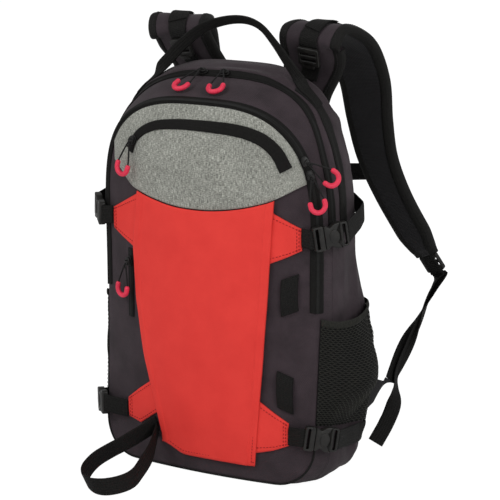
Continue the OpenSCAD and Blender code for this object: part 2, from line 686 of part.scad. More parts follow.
// Place of a buckle's mouth on the pack's right front edge, and its directions: the stiff buckle lies
// across the edge, and its strap stands off the side until the back
buckle_turn = 47;
buckle_slope = 1 / 190;
function buckle_along(strap) =
    unit([cos(buckle_turn), sin(buckle_turn), (strap[1] - strap[0]) * buckle_slope]);
function buckle_face(strap) = let(a = buckle_along(strap)) unit([a.y, -a.x, 0]);
function buckle_across(strap) = cross(buckle_face(strap), buckle_along(strap));
function buckle_at(strap) =
    side(FRONT_ZIP, strap[0]) + buckle_face(strap) * (2 * seat + zip_t) - buckle_along(strap) * strap[2];
module on_buckle(strap, left) {
    mirror_if(left) at_frame(buckle_at(strap), buckle_along(strap), buckle_face(strap)) children();
}
module buckle_females() {
    color("#262524")
        for (strap = [upper_strap, lower_strap], left = [false, true])
            on_buckle(strap, left) buckle_female(buckle_w, buckle_l, buckle_t);
}
module male(strap, left) {
    color("#262524") on_buckle(strap, left) buckle_male(buckle_w, buckle_t);
}
module buckle_male_upper_left() {
    male(upper_strap, true);
}
module buckle_male_upper_right() {
    male(upper_strap, false);
}
module buckle_male_lower_left() {
    male(lower_strap, true);
}
module buckle_male_lower_right() {
    male(lower_strap, false);
}

// Webbing tab from a wing's tip to the male half
tab_start = 1;
tab_trim = 2;
module tab(strap, tip, left) {
    along = buckle_along(strap);
    face = buckle_face(strap);
    rear = buckle_at(strap) - along * (mouth_gap + base_l + lock_gap) + face * buckle_t / 2;
    lift = panel_lift + web_t / 2;
    sewn = front_at(tip.x + tab_start, strap[0], lift);
    path = [rear, mix(rear, sewn, 0.5), sewn];
    up = [buckle_across(strap), [0, 0, 1], [0, 0, 1]];
    t = tangents(path);
    outward = [face, unit(cross([0, 0, 1], t[1])), unit(cross([0, 0, 1], t[2]))];
    color("#1b1b1a")
        mirror_if(left) ribbon(path, [for (u = up) -u], outward, web_w - tab_trim, web_t, -web_t / 2);
}
module buckle_tab_upper_left() {
    tab(upper_strap, last(upper_wing), true);
}
module buckle_tab_upper_right() {
    tab(upper_strap, last(upper_wing), false);
}
module buckle_tab_lower_left() {
    tab(lower_strap, last(lower_wing_left), true);
}
module buckle_tab_lower_right() {
    tab(lower_strap, last(lower_wing), false);
}

// Compression straps from the female halves round to the back: places between the sections, and how
// far the strap stands off there
strap_places = [[2.6, 15], [2.3, 12.5], [2, 10], [1.5, 5], [1, 1], [0.5, 0], [0.1, 0]];
module compression_strap(strap) {
    along = buckle_along(strap);
    face = buckle_face(strap);
    start = buckle_at(strap) + along * (buckle_l + lock_gap) + face * (buckle_t / 2);
    cols = [for (i = [-2:2]) web_w * i / 4];
    function rows(h) = concat(
        [[for (w = cols) start + buckle_across(strap) * w + face * (h - web_t / 2)]],
        [for (p = strap_places) [for (w = cols) side_at(p[0], strap_z(strap, p[0]) + w, seat + p[1] + h)]]);
    sheet(rows(web_t), rows(0));
}
module compression_straps() {
    color("#1b1b1a")
        for (strap = [upper_strap, lower_strap], left = [false, true])
            mirror_if(left) compression_strap(strap);
}

// Sternum strap between the shoulder straps, with a small buckle in the middle
sternum_u = 10.4;
sternum_w = 24;
sternum_l = 24;
sternum_t = 8;
sternum_sewn = 26;
sternum_sag = 7;
sternum_root = strap_at(sternum_u) + strap_face(sternum_u) * (strap_t / 2 + 1.5 * seat + web_t / 2);
sternum_edge = sternum_root - strap_across(sternum_u) * (strap_width(sternum_u) / 2 + 4);
sternum_y = sternum_edge.y;
sternum_z = sternum_edge.z - sternum_sag;
sternum_box = sternum_w + 2 * buckle_wall;
// Half of the strap, from where it is sewn to the shoulder strap's outer face to its buckle
module sternum_half(reach) {
    finish = [reach, sternum_y, sternum_z];
    sewn = sternum_edge + strap_across(sternum_u) * sternum_sewn;
    lead = finish + [lead_l, 0, 0];
    path = [sewn, sternum_edge, mix(sternum_edge, lead, 0.5) - [0, 0, 1], lead, finish];
    t = tangents(path);
    lean = -strap_along(sternum_u);
    up = [lean, lean, mix(lean, [0, 0, 1], 0.6), [0, 0, 1], [0, 0, 1]];
    across = [for (i = [0:4]) unit(up[i] - t[i] * (t[i] * up[i]))];
    color("#1b1b1a")
        ribbon(path, across, [for (i = [0:4]) cross(t[i], across[i])], sternum_w, web_t, -web_t / 2);
}
module sternum_strap_right() {
    sternum_half(sternum_l / 2 + lock_gap);
}
module sternum_strap_left() {
    mirror_if(true) sternum_half(sternum_l / 2 + mouth_gap + base_l + lock_gap);
}
module on_sternum() {
    at_frame([-sternum_l / 2, sternum_y + sternum_t / 2, sternum_z], [1, 0, 0], [0, -1, 0]) children();
}
module sternum_female() {
    color("#262524") on_sternum() buckle_female(sternum_box, sternum_l, sternum_t);
}
module sternum_male() {
    color("#262524") on_sternum() buckle_male(sternum_box, sternum_t);
}

// Ski loop: webbing sewn under the red panel's edge, lying on the ground in front of the pack's foot;
// its points are steps from the middle of the pack, from the front and from the ground
ski_w = 22;
ski_route = [[-62, 10.8, 57], [-66, 6, 55], [-74, -10, 48], [-84, -33, 40], [-98, -46, 31], [-108, -60, 23],
    [-110, -76, 16], [-103, -94, 13], [-90, -110, 12], [-74, -118, 12], [-58, -114, 12], [-46, -98, 13],
    [-42, -78, 15], [-46, -54, 20], [-50, -28, 30], [-56, -8, 41], [-62, 8.8, 49]];
module ski_loop() {
    path = [for (p = ski_route) [p.x, p.y - front_reach, p.z]];
    t = tangents(path);
    n = len(path) - 1;
    sewn = [0, -0.07, 1];
    function free(u) = [-0.25, -0.55 + 0.6 * ease(2 * u - 0.6), 1];
    lean = [for (i = [0:n]) unit(mix(sewn, free(i / n), ease(min(i, n - i) / 3)))];
    across = [for (i = [0:n]) i == 0 || i == n ? sewn : unit(lean[i] - t[i] * (t[i] * lean[i]))];
    color("#1b1b1a")
        ribbon(path, across, [for (i = [0:n]) unit(cross(t[i], across[i]))], ski_w, web_t, -web_t / 2);
}

// Zip sliders with their pulls: place on the zip, direction of travel, outward face and hang
slider_l = 12;
slider_w = 8.8;
slider_round = 2.4;
plate_t = 1.6;
slider_t = 4.6;
bail_r = 0.9;
bail_rise = 2.4;
bail_w = 7.2;
bail_post = 1.6;
cord_r = 1;
leg_l = 5;
function frame_of(p, along, face, hang) =
    let(f = unit(face - along * (along * face))) [p, along, f, unit(hang - f * (f * hang))];
// The main zip's sliders meet beside the middle, and each pull sweeps out to its own side
function main_frame(x, sweep) =
    let(p = arch_at(MAIN_ZIP, x), along = unit(arch_at(MAIN_ZIP, x + 2) - arch_at(MAIN_ZIP, x - 2)),
        down = band_across(MAIN_ZIP, [p])[0])
    frame_of(p, along, cross(down, along), down + along * sweep);
main_frame_left = main_frame(-27, -0.35);
main_frame_right = main_frame(4, 0.2);
front_upper_z = 408;
front_lower_z = 392;
function front_zip_frame(z, sweep) =
    let(p = side(FRONT_ZIP, z), along = unit(side(FRONT_ZIP, z + 2) - side(FRONT_ZIP, z - 2)),
        across = band_across(FRONT_ZIP, [p])[0])
    frame_of(p, along, cross(along, across), -along - across * sweep);
front_upper_frame = front_zip_frame(front_upper_z, 0.55);
front_lower_frame = front_zip_frame(front_lower_z, -0.1);
goggle_frame = frame_of(goggle_path[1], tangents(goggle_path)[1], goggle_faces[1], [-0.3, 0, -1]);
stash_slider_z = 262;
stash_stop = front_at(stash_x, stash_slider_z, 0);
stash_frame = frame_of(stash_stop, [0, 0, 1], front_face(stash_x, stash_slider_z), [-0.2, 0, -1]);
slider_lift = seat + zip_t + lock_gap;
bail_lift = slider_lift + slider_t + bail_rise;

module on_bail(f) {
    at_frame(f[0] + f[2] * bail_lift, f[3], f[2]) children();
}
// Slider: two plates on a post, with a bail for the pull to hang on
module slider(f) {
    color("#2b2a29") {
        at_frame(f[0] + f[2] * slider_lift, f[1], f[2]) {
            linear_extrude(plate_t) round_rect(slider_l, slider_w, slider_round);
            translate([0, 0, slider_t - plate_t])
                linear_extrude(plate_t) round_rect(slider_l - 2, slider_w - 1.5, slider_round);
            cylinder(d = slider_w / 2, h = slider_t);
        }
        on_bail(f) {
            for (s = [-1, 1])
                translate([-bail_r, s * (bail_w - bail_post) / 2 - bail_post / 2, -bail_rise - plate_t / 4])
                    cube([2 * bail_r, bail_post, bail_rise + plate_t / 4]);
            rotate([90, 0, 0]) cylinder(r = bail_r, h = bail_w, center = true);
        }
    }
}
grip_arc = grip_r - grip_d / 2;
cord_gap = 0.3;
cord_start = bail_r + cord_r + cord_gap;
module pull_cord(f) {
    reach = pull_l - leg_l - cord_start - 2 * cord_gap;
    lean = atan2(grip_arc, reach);
    color("#1b1b1a")
        on_bail(f)
            translate([cord_start, 0, 0]) {
                sphere(r = cord_r);
                for (s = [-1, 1])
                    rotate([0, 90, s * lean]) cylinder(r = cord_r, h = norm([reach, grip_arc]));
            }
}
module pull_grip(f) {
    color("#e0234a")
        on_bail(f)
            translate([pull_l, 0, 0]) {
                rotate([0, 0, -90]) rotate_extrude(angle = 180) translate([grip_arc, 0]) circle(d = grip_d);
                for (s = [-1, 1])
                    translate([-leg_l, s * grip_arc, 0]) rotate([0, 90, 0]) cylinder(d = grip_d, h = leg_l);
            }
}
module main_slider_right() {
    slider(main_frame_right);
}
module main_slider_left() {
    slider(main_frame_left);
}
module front_slider_upper() {
    slider(front_upper_frame);
}
module front_slider_lower() {
    slider(front_lower_frame);
}
module goggle_slider() {
    slider(goggle_frame);
}
module stash_slider() {
    slider(stash_frame);
}
module main_cord_right() {
    pull_cord(main_frame_right);
}
module main_cord_left() {
    pull_cord(main_frame_left);
}
module front_cord_upper() {
    pull_cord(front_upper_frame);
}
module front_cord_lower() {
    pull_cord(front_lower_frame);
}
module goggle_cord() {
    pull_cord(goggle_frame);
}
module stash_cord() {
    pull_cord(stash_frame);
}
module main_grip_right() {
    pull_grip(main_frame_right);
}
module main_grip_left() {
    pull_grip(main_frame_left);
}
module front_grip_upper() {
    pull_grip(front_upper_frame);
}
module front_grip_lower() {
    pull_grip(front_lower_frame);
}
module goggle_grip() {
    pull_grip(goggle_frame);
}
module stash_grip() {
    pull_grip(stash_frame);
}

back_panel();
frame_sheet();
main_compartment();
front_compartment();
main_zip();
front_zip();
goggle_pocket();
goggle_zip();
stash_zip();
front_panel();
panel_wings();
tool_loops();
mesh_pocket_left();
mesh_pocket_right();
pocket_bindings();
seam_tape();
grab_handle();
shoulder_strap_left();
shoulder_strap_right();
lifter_webbing();
lifter_locks();
strap_lock_left();
strap_lock_right();
load_webbing_left();
load_webbing_right();
anchor_fins();
sternum_strap_left();
sternum_strap_right();
sternum_female();
sternum_male();
ski_loop();
compression_straps();
buckle_females();
buckle_male_upper_left();
buckle_male_upper_right();
buckle_male_lower_left();
buckle_male_lower_right();
buckle_tab_upper_left();
buckle_tab_upper_right();
buckle_tab_lower_left();
buckle_tab_lower_right();
main_slider_left();
main_slider_right();
front_slider_upper();
front_slider_lower();
goggle_slider();
stash_slider();
main_cord_left();
main_cord_right();
front_cord_upper();
front_cord_lower();
goggle_cord();
stash_cord();
main_grip_left();
main_grip_right();
front_grip_upper();
front_grip_lower();
goggle_grip();
stash_grip();
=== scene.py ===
import bpy
import numpy as np
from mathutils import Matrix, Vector


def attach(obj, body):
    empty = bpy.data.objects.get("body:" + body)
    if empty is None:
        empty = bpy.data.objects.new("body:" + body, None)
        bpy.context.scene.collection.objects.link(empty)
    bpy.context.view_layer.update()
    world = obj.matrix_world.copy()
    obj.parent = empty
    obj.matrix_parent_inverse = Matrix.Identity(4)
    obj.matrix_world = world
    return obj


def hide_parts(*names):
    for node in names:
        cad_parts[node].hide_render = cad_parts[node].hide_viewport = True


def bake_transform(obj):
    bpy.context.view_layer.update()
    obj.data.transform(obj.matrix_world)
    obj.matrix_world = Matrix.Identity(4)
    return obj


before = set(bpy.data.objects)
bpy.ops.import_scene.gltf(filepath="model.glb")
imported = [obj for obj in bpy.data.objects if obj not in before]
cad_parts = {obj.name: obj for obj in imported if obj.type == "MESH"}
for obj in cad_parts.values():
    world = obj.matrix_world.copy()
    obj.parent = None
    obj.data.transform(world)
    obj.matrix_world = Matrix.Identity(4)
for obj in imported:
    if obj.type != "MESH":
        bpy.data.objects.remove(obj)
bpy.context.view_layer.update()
mm = 0.001

# camera at the photo's angle: millimetres, degrees
view = dict(target=(24.7, 14.25, 275), distance=2500, azimuth=30, elevation=13, lens=144, sensor=36)
az, el = np.radians(view["azimuth"]), np.radians(view["elevation"])
toEye = np.array([np.sin(az) * np.cos(el), -np.cos(az) * np.cos(el), np.sin(el)])
target = np.array(view["target"]) * mm
eye = target + view["distance"] * mm * toEye
cameraData = bpy.data.cameras.new("photoCamera")
cameraData.lens, cameraData.sensor_width = view["lens"], view["sensor"]
camera = bpy.data.objects.new("photoCamera", cameraData)
camera.location = eye
camera.rotation_euler = (Vector(target) - Vector(eye)).to_track_quat("-Z", "Y").to_euler()
bpy.context.collection.objects.link(camera)
bpy.context.scene.camera = camera
bpy.context.scene.view_settings.view_transform = "Standard"


def toLinear(code):  # sRGB hex to linear: below 0.04045 divided by 12.92, above it the 2.4 power
    c = np.array([int(code[i:i + 2], 16) / 255 for i in (1, 3, 5)])
    c = np.where(c <= 0.04045, c / 12.92, ((c + 0.055) / 1.055) ** 2.4)
    return (*c.tolist(), 1.0)


def addNode(tree, kind, inputs=None, stops=(), **settings):
    # inputs are values or links for the sockets, stops the places and colours of a ramp
    node = tree.nodes.new(kind)
    for key, value in settings.items():
        setattr(node, key, value)
    for key, value in (inputs or {}).items():
        if isinstance(value, bpy.types.NodeSocket):
            tree.links.new(value, node.inputs[key])
        else:
            node.inputs[key].default_value = value
    for k, (place, colour) in enumerate(stops):
        row = node.color_ramp.elements
        stop = row[k] if k < len(row) else row.new(place)
        stop.position, stop.color = place, toLinear(colour)
    return node


def blankMaterial(name):  # material with an empty node tree
    material = bpy.data.materials.new(name)
    material.use_nodes = True
    tree = material.node_tree
    tree.nodes.clear()
    return material, tree


studioLook = dict(soft=0.43, background=1.0, floor=0.82, halfFloor=6, glow=1.2, glowShare=0.8, aim=(0, 0, 0.28))
lamps = dict(
    key=dict(place=(-1.2, -2.2, 2.4), size=1.6, power=45),
    side=dict(place=(2.4, -0.9, 1.5), size=1.4, power=31),
    rear=dict(place=(0.6, 2.2, 2.2), size=1.6, power=13))


def studioWorld():
    # white to the camera, softer as light on the pack
    world = bpy.data.worlds.new("studio")
    bpy.context.scene.world = world
    world.use_nodes = True
    tree = world.node_tree
    tree.nodes.clear()
    seen = addNode(tree, "ShaderNodeLightPath").outputs["Is Camera Ray"]
    soft = addNode(tree, "ShaderNodeBackground", {"Color": (1, 1, 1, 1), "Strength": studioLook["soft"]})
    white = addNode(tree, "ShaderNodeBackground", {"Color": (1, 1, 1, 1), "Strength": studioLook["background"]})
    both = addNode(tree, "ShaderNodeMixShader", {0: seen, 1: soft.outputs[0], 2: white.outputs[0]})
    addNode(tree, "ShaderNodeOutputWorld", {"Surface": both.outputs[0]})


def studioFloor():
    # matte paint that keeps the shadow, glowing a little to the camera so that it reads as white
    material, tree = blankMaterial("pale floor")
    seen = addNode(tree, "ShaderNodeLightPath").outputs["Is Camera Ray"]
    matte = addNode(tree, "ShaderNodeBsdfDiffuse", {"Color": (*[studioLook["floor"]] * 3, 1)})
    glow = addNode(tree, "ShaderNodeEmission", {"Color": (1, 1, 1, 1), "Strength": studioLook["glow"]})
    share = addNode(tree, "ShaderNodeMath", {0: seen, 1: studioLook["glowShare"]}, operation="MULTIPLY")
    both = addNode(tree, "ShaderNodeMixShader", {0: share.outputs[0], 1: matte.outputs[0], 2: glow.outputs[0]})
    addNode(tree, "ShaderNodeOutputMaterial", {"Surface": both.outputs[0]})
    mesh = bpy.data.meshes.new("floor")
    r = studioLook["halfFloor"]
    mesh.from_pydata([(-r, -r, 0), (r, -r, 0), (r, r, 0), (-r, r, 0)], [], [(0, 1, 2, 3)])
    mesh.materials.append(material)
    floor = bpy.data.objects.new("floor", mesh)
    bpy.context.collection.objects.link(floor)


def studioLamps():  # square area lamps, turned towards the pack
    for name, lamp in lamps.items():
        data = bpy.data.lights.new(name, "AREA")
        data.size, data.energy = lamp["size"], lamp["power"]
        light = bpy.data.objects.new(name, data)
        light.location = lamp["place"]
        way = Vector(studioLook["aim"]) - Vector(lamp["place"])
        light.rotation_euler = way.to_track_quat("-Z", "Y").to_euler()
        bpy.context.collection.objects.link(light)


studioWorld()
studioFloor()
studioLamps()
print("stage: camera, floor and light")


# materials: pattern sizes in millimetres, colours in sRGB
def waveScale(size):  # the wave texture repeats every 2 pi / 20 of its scaled coordinate
    return 2 * np.pi / 20 / (size * mm)


def finishMaterial(material, tree, colour, rough, height, depth, **sockets):
    # bump of this depth, and one shader whose other sockets are set directly
    bump = addNode(tree, "ShaderNodeBump", {"Strength": 1.0, "Distance": depth * mm, "Height": height})
    inputs = {"Base Color": colour, "Roughness": rough, "Normal": bump.outputs[0], **sockets}
    shader = addNode(tree, "ShaderNodeBsdfPrincipled", inputs)
    addNode(tree, "ShaderNodeOutputMaterial", {"Surface": shader.outputs[0]})
    return material


def wovenCloth(name, dark, light, thread=1.3, depth=0.12, mottle=28, fleck=0.9, slub=0.0, rough=0.82,
               sheen=0.06):
    # plain-woven polyester: crossing threads, its colour mottled at random in patches a few centimetres wide;
    # threads drawn coarse enough to show
    material, tree = blankMaterial(name)
    place = addNode(tree, "ShaderNodeTexCoord").outputs
    threads = {"Vector": place["UV"], "Scale": waveScale(thread), "Distortion": 0.6, "Detail": 1.0}
    warp = addNode(tree, "ShaderNodeTexWave", threads, bands_direction="X")
    weft = addNode(tree, "ShaderNodeTexWave", threads, bands_direction="Y")
    weave = addNode(tree, "ShaderNodeMath", {0: warp.outputs["Fac"], 1: weft.outputs["Fac"]}, operation="ADD")
    cloud = addNode(tree, "ShaderNodeTexNoise", {"Vector": place["Object"], "Scale": 1 / (mottle * mm),
                                                 "Detail": 4.0, "Roughness": 0.6}).outputs["Fac"]
    fine = addNode(tree, "ShaderNodeTexNoise", {"Vector": place["UV"], "Scale": 1 / (fleck * mm),
                                                "Detail": 1.0}).outputs["Fac"]
    tone = addNode(tree, "ShaderNodeMix", {0: 0.35 + slub, 2: cloud, 3: fine}, data_type="FLOAT")
    ramp = addNode(tree, "ShaderNodeValToRGB", {"Fac": tone.outputs[0]}, stops=((0.33, dark), (0.67, light)))
    worn = addNode(tree, "ShaderNodeMapRange", {"Value": cloud, "To Min": rough - 0.08, "To Max": rough + 0.08})
    return finishMaterial(material, tree, ramp.outputs[0], worn.outputs[0], weave.outputs[0], depth,
                          **{"Sheen Weight": sheen, "Sheen Roughness": 0.5, "Specular IOR Level": 0.22})


def wovenWebbing(name, dark, light, rib=2.2, depth=0.25, line=3.2, fleck=2.5):
    # flat woven nylon: close ribs across the width, slightly wavy lengthwise lines
    material, tree = blankMaterial(name)
    uv = addNode(tree, "ShaderNodeTexCoord").outputs["UV"]
    ribs = addNode(tree, "ShaderNodeTexWave", {"Vector": uv, "Scale": waveScale(rib), "Distortion": 1.2,
                                               "Detail": 1.0, "Detail Scale": 2.0}, bands_direction="Y")
    lines = addNode(tree, "ShaderNodeTexWave", {"Vector": uv, "Scale": waveScale(line), "Distortion": 0.4},
                    bands_direction="X")
    height = addNode(tree, "ShaderNodeMath", {0: ribs.outputs["Fac"], 1: lines.outputs["Fac"]}, operation="ADD")
    fine = addNode(tree, "ShaderNodeTexNoise", {"Vector": uv, "Scale": 1 / (fleck * mm), "Detail": 2.0})
    ramp = addNode(tree, "ShaderNodeValToRGB", {"Fac": fine.outputs["Fac"]}, stops=((0.3, dark), (0.7, light)))
    return finishMaterial(material, tree, ramp.outputs[0], 0.72, height.outputs[0], depth,
                          **{"Specular IOR Level": 0.14})


def heatherCloth(name, dark, mid, light, fibre=0.65, drift=34):
    # melange: pale and dark fibres spun together, seen as short soft streaks both ways; fibres drawn coarse
    material, tree = blankMaterial(name)
    uv = addNode(tree, "ShaderNodeTexCoord").outputs["UV"]
    streaks = []
    for scale in ((0.13, 1.0, 1.0), (1.0, 0.18, 1.0)):
        stretch = addNode(tree, "ShaderNodeMapping", {"Vector": uv, "Scale": scale})
        streak = addNode(tree, "ShaderNodeTexNoise", {"Vector": stretch.outputs[0], "Scale": 1 / (fibre * mm),
                                                      "Detail": 1.0})
        streaks.append(streak.outputs["Fac"])
    tone = addNode(tree, "ShaderNodeMix", {0: 0.45, 2: streaks[0], 3: streaks[1]}, data_type="FLOAT")
    # slow random drift of tone, some 34 mm across: painted shade standing in for the cloth's soft folds
    cloud = addNode(tree, "ShaderNodeTexNoise", {"Vector": uv, "Scale": 1 / (drift * mm), "Detail": 2.0})
    blend = {0: 0.1, 2: tone.outputs[0], 3: cloud.outputs["Fac"]}
    tone = addNode(tree, "ShaderNodeMix", blend, data_type="FLOAT")
    ramp = addNode(tree, "ShaderNodeValToRGB", {"Fac": tone.outputs[0]},
                   stops=((0.34, dark), (0.5, mid), (0.66, light)))
    return finishMaterial(material, tree, ramp.outputs[0], 0.9, streaks[0], 0.05,
                          **{"Sheen Weight": 0.2, "Specular IOR Level": 0.2})


def mouldedPlastic(name, dark, light, rough=0.42, grain=0.7, depth=0.04, dust=9, shine=0.5):
    # injection-moulded acetal: fine spark-eroded grain, dull gloss, dusty in patches
    material, tree = blankMaterial(name)
    place = addNode(tree, "ShaderNodeTexCoord").outputs["Object"]
    grit = addNode(tree, "ShaderNodeTexNoise", {"Vector": place, "Scale": 1 / (grain * mm), "Detail": 2.0})
    patch = addNode(tree, "ShaderNodeTexNoise", {"Vector": place, "Scale": 1 / (dust * mm), "Detail": 3.0})
    patch = patch.outputs["Fac"]
    ramp = addNode(tree, "ShaderNodeValToRGB", {"Fac": patch}, stops=((0.35, dark), (0.7, light)))
    worn = addNode(tree, "ShaderNodeMapRange", {"Value": patch, "To Min": rough - 0.08, "To Max": rough + 0.12})
    return finishMaterial(material, tree, ramp.outputs[0], worn.outputs[0], grit.outputs["Fac"], depth,
                          **{"Specular IOR Level": shine})


packCloth = wovenCloth("charcoal plain-woven polyester", "#271f23", "#3b3136", thread=1.4)
strapCloth = wovenCloth("charcoal strap cloth", "#2a2327", "#393035", thread=1.5)
redCloth = wovenCloth("red coated polyester", "#d8352f", "#e03d36", thread=1.4, depth=0.08, sheen=0.0,
                      rough=0.72)
padMesh = wovenCloth("black air mesh", "#141315", "#1f1e20", thread=2.0, depth=0.25, slub=0.2)
blackWebbing = wovenWebbing("black nylon webbing", "#0e0e0d", "#191817")
blackTape = wovenWebbing("black binding tape", "#111110", "#1b1a19", rib=1.4, depth=0.12)
zipTape = wovenWebbing("black zip tape", "#0d0c0b", "#151413", rib=1.2, depth=0.1)
heather = heatherCloth("grey heather melange", "#4f504a", "#868780", "#b9bbb1")
netYarn = wovenCloth("black stretch mesh yarn", "#181815", "#272721", thread=0.8, depth=0.05)
# near-black inner mesh: its colour is painted shade of the pocket's inside, so that the net's holes read black
netShadeGround = wovenCloth("black inner mesh painted as shade", "#040404", "#080807", thread=0.8, depth=0.05, sheen=0.0)
elasticBinding = wovenWebbing("black elastic binding", "#1d1d1a", "#2a2a26", rib=1.6, depth=0.15)
buckleAcetal = mouldedPlastic("black moulded acetal", "#161514", "#22211f", shine=0.3)
sliderPaint = mouldedPlastic("black painted zinc", "#0e0e0d", "#191817", grain=1.2, depth=0.02, shine=0.35)
coilNylon = mouldedPlastic("black nylon zip coil", "#0d0d0c", "#171716", rough=0.6, shine=0.2)
gripRubber = mouldedPlastic("red moulded rubber", "#d01f42", "#e22c4c", rough=0.55, grain=0.9, depth=0.05)
sheetPlastic = mouldedPlastic("grey polyethylene sheet", "#85888b", "#90938f", rough=0.5)
cordNylon = wovenWebbing("black braided cord", "#171717", "#272626", rib=0.9, depth=0.15)
redThread = wovenWebbing("dark red sewing thread", "#8a1a1e", "#a62529", rib=0.5, depth=0.02)
blackThread = wovenWebbing("black sewing thread", "#1a191a", "#2b292a", rib=0.5, depth=0.02)
print("stage: materials")


# mesh parts: each is (points, quads, triangles, quad uv, triangle uv), in millimetres
def unit(v):  # each vector divided by its length
    return v / np.maximum(np.linalg.norm(v, axis=-1, keepdims=True), 1e-9)


def mix(a, b, t):  # straight blend
    return a + (b - a) * t


def ease(t):  # smooth step from 0 to 1
    s = np.clip(t, 0, 1)
    return s * s * (3 - 2 * s)


def valuesAt(place, rows):
    # rows of values at places counted in rows, straight between neighbours
    return np.stack([np.interp(place, np.arange(len(rows)), column) for column in rows.T], -1)


def steps(points, axis):  # running length along one direction of a grid, averaged over the other, in metres
    gap = np.linalg.norm(np.diff(points, axis=axis), axis=-1).mean(1 - axis)
    total = np.concatenate([[0], np.cumsum(gap)])
    return np.append(total, total[-1] + gap[-1]) * mm


def gridPart(points, closeU=False, closeV=False, caps=False):
    # quads between neighbouring points; the outside is the row direction crossed with the column direction
    rows, cols = points.shape[:2]
    ids = np.arange(rows * cols).reshape(rows, cols)
    r, c = np.meshgrid(np.arange(rows - (not closeU)), np.arange(cols - (not closeV)), indexing="ij")
    rn, cn = (r + 1) % rows, (c + 1) % cols
    quads = np.stack([ids[r, c], ids[rn, c], ids[rn, cn], ids[r, cn]], -1).reshape(-1, 4)
    along, side = steps(points, 0), steps(points, 1)
    corner = [(r, c), (r + 1, c), (r + 1, c + 1), (r, c + 1)]
    quadUv = np.stack([np.stack([side[j], along[i]], -1) for i, j in corner], -2).reshape(-1, 4, 2)
    verts = points.reshape(-1, 3)
    tris = np.zeros((0, 3), int)
    if caps:
        n = len(verts)
        verts = np.concatenate([verts, points[[0, -1]].mean(1)])
        k = np.arange(cols - (not closeV))
        kn = (k + 1) % cols
        tris = np.concatenate([np.stack([np.full_like(k, n), ids[0, k], ids[0, kn]], -1),
                               np.stack([np.full_like(k, n + 1), ids[-1, kn], ids[-1, k]], -1)])
    return verts, quads, tris, quadUv, np.zeros((len(tris), 3, 2))


def slabPart(outer, inner):
    # thick sheet: the outer grid, the inner grid turned round, and a strip round the edges
    rows, cols = outer.shape[:2]
    verts, quads, tris, uv, triUv = gridPart(np.concatenate([outer, inner[:, ::-1]], 1), closeV=True)
    wide = 2 * cols
    c = np.arange(cols - 1)
    first = np.stack([c, c + 1, wide - 2 - c, wide - 1 - c], -1)
    lastRow = (rows - 1) * wide + first[:, ::-1]
    quads = np.concatenate([quads, first, lastRow])
    return verts, quads, tris, np.concatenate([uv, np.zeros((2 * len(c), 4, 2))]), triUv


def tubePart(path, radius, sides=12, ref=(0, 0, 1), flat=1.0):
    # circle carried along a path, its first spoke square to the path and to ref, flattened towards ref
    t = tangents(path)
    a = unit(np.cross(t, np.asarray(ref, float)))
    b = np.cross(t, a)
    turn = -np.linspace(0, 2 * np.pi, sides, endpoint=False)[None, :, None]
    circle = np.cos(turn) * a[:, None] + np.sin(turn) * b[:, None] * flat
    size = np.broadcast_to(radius, len(path))[:, None, None]
    return gridPart(path[:, None] + circle * size, closeV=True, caps=True)


def roundEnds(path, radius, count=5, least=0.02):
    # extra points and shrinking radii that close a tube in two half balls
    t = tangents(path)
    a = np.linspace(0, np.pi / 2, count, endpoint=False)
    head = path[0] - t[0] * radius * np.cos(a)[:, None]
    tail = path[-1] + t[-1] * radius * np.cos(a)[::-1, None]
    size = np.concatenate([np.sin(a), np.ones(len(path)), np.sin(a)[::-1]]) * radius
    return np.concatenate([head, path, tail]), np.maximum(size, least)


def tangents(path):  # way from the point before to the point after, one step at the ends
    return unit(np.concatenate([[path[1] - path[0]], path[2:] - path[:-2], [path[-1] - path[-2]]]))


def spline(points, u):
    # smooth curve through points, at places counted in points: a cubic of the four nearest, whose slope at a
    # point is half the way between its neighbours
    p = np.asarray(points, float)
    full = np.concatenate([[2 * p[0] - p[1]], p, [2 * p[-1] - p[-2]]])
    i = np.clip(np.floor(u).astype(int), 0, len(p) - 2)
    t = (u - i)[:, None]
    a, b, c, d = full[i], full[i + 1], full[i + 2], full[i + 3]
    return b + t / 2 * (c - a + t * (2 * a - 5 * b + 4 * c - d + t * (3 * (b - c) + d - a)))


def resample(path, gap):
    # points at equal steps of length along a path, and the places they fall at
    length = np.concatenate([[0], np.cumsum(np.linalg.norm(np.diff(path, axis=0), axis=-1))])
    s = np.linspace(0, length[-1], max(int(length[-1] / gap), 2) + 1)
    points = np.stack([np.interp(s, length, path[:, i]) for i in range(3)], -1)
    return points, np.interp(s, length, np.arange(len(path)))


webSection = dict(points=11, square=8, thin=0.06, ridge=0.18, ridgeAt=0.86, ridgeWidth=0.07)


def webPart(path, across, face, width, thick, gap=2.0, lift=0.0):
    # flat webbing: a thin oblong section with round, slightly ridged selvedges, carried along the path
    fine, place = resample(path, gap)
    a = unit(valuesAt(place, np.broadcast_to(across, path.shape)))[:, None]
    f = unit(valuesAt(place, np.broadcast_to(face, path.shape)))[:, None]
    wide = np.interp(place, np.arange(len(path)), np.broadcast_to(width, len(path)))[:, None, None]
    q = np.linspace(-1, 1, webSection["points"])
    edge = np.sqrt(np.maximum(1 - np.abs(q) ** webSection["square"], webSection["thin"]))
    ridge = (np.abs(q) - webSection["ridgeAt"]) / webSection["ridgeWidth"]
    top = np.stack([q / 2, 0.5 * edge * (1 + webSection["ridge"] * np.exp(-ridge ** 2))], -1)
    loop = np.concatenate([top, top[::-1] * [1, -1]])[None]
    rows = fine[:, None] + a * loop[..., 0, None] * wide + f * (lift + thick / 2 + loop[..., 1, None] * thick)
    return gridPart(rows, closeV=True, caps=True)


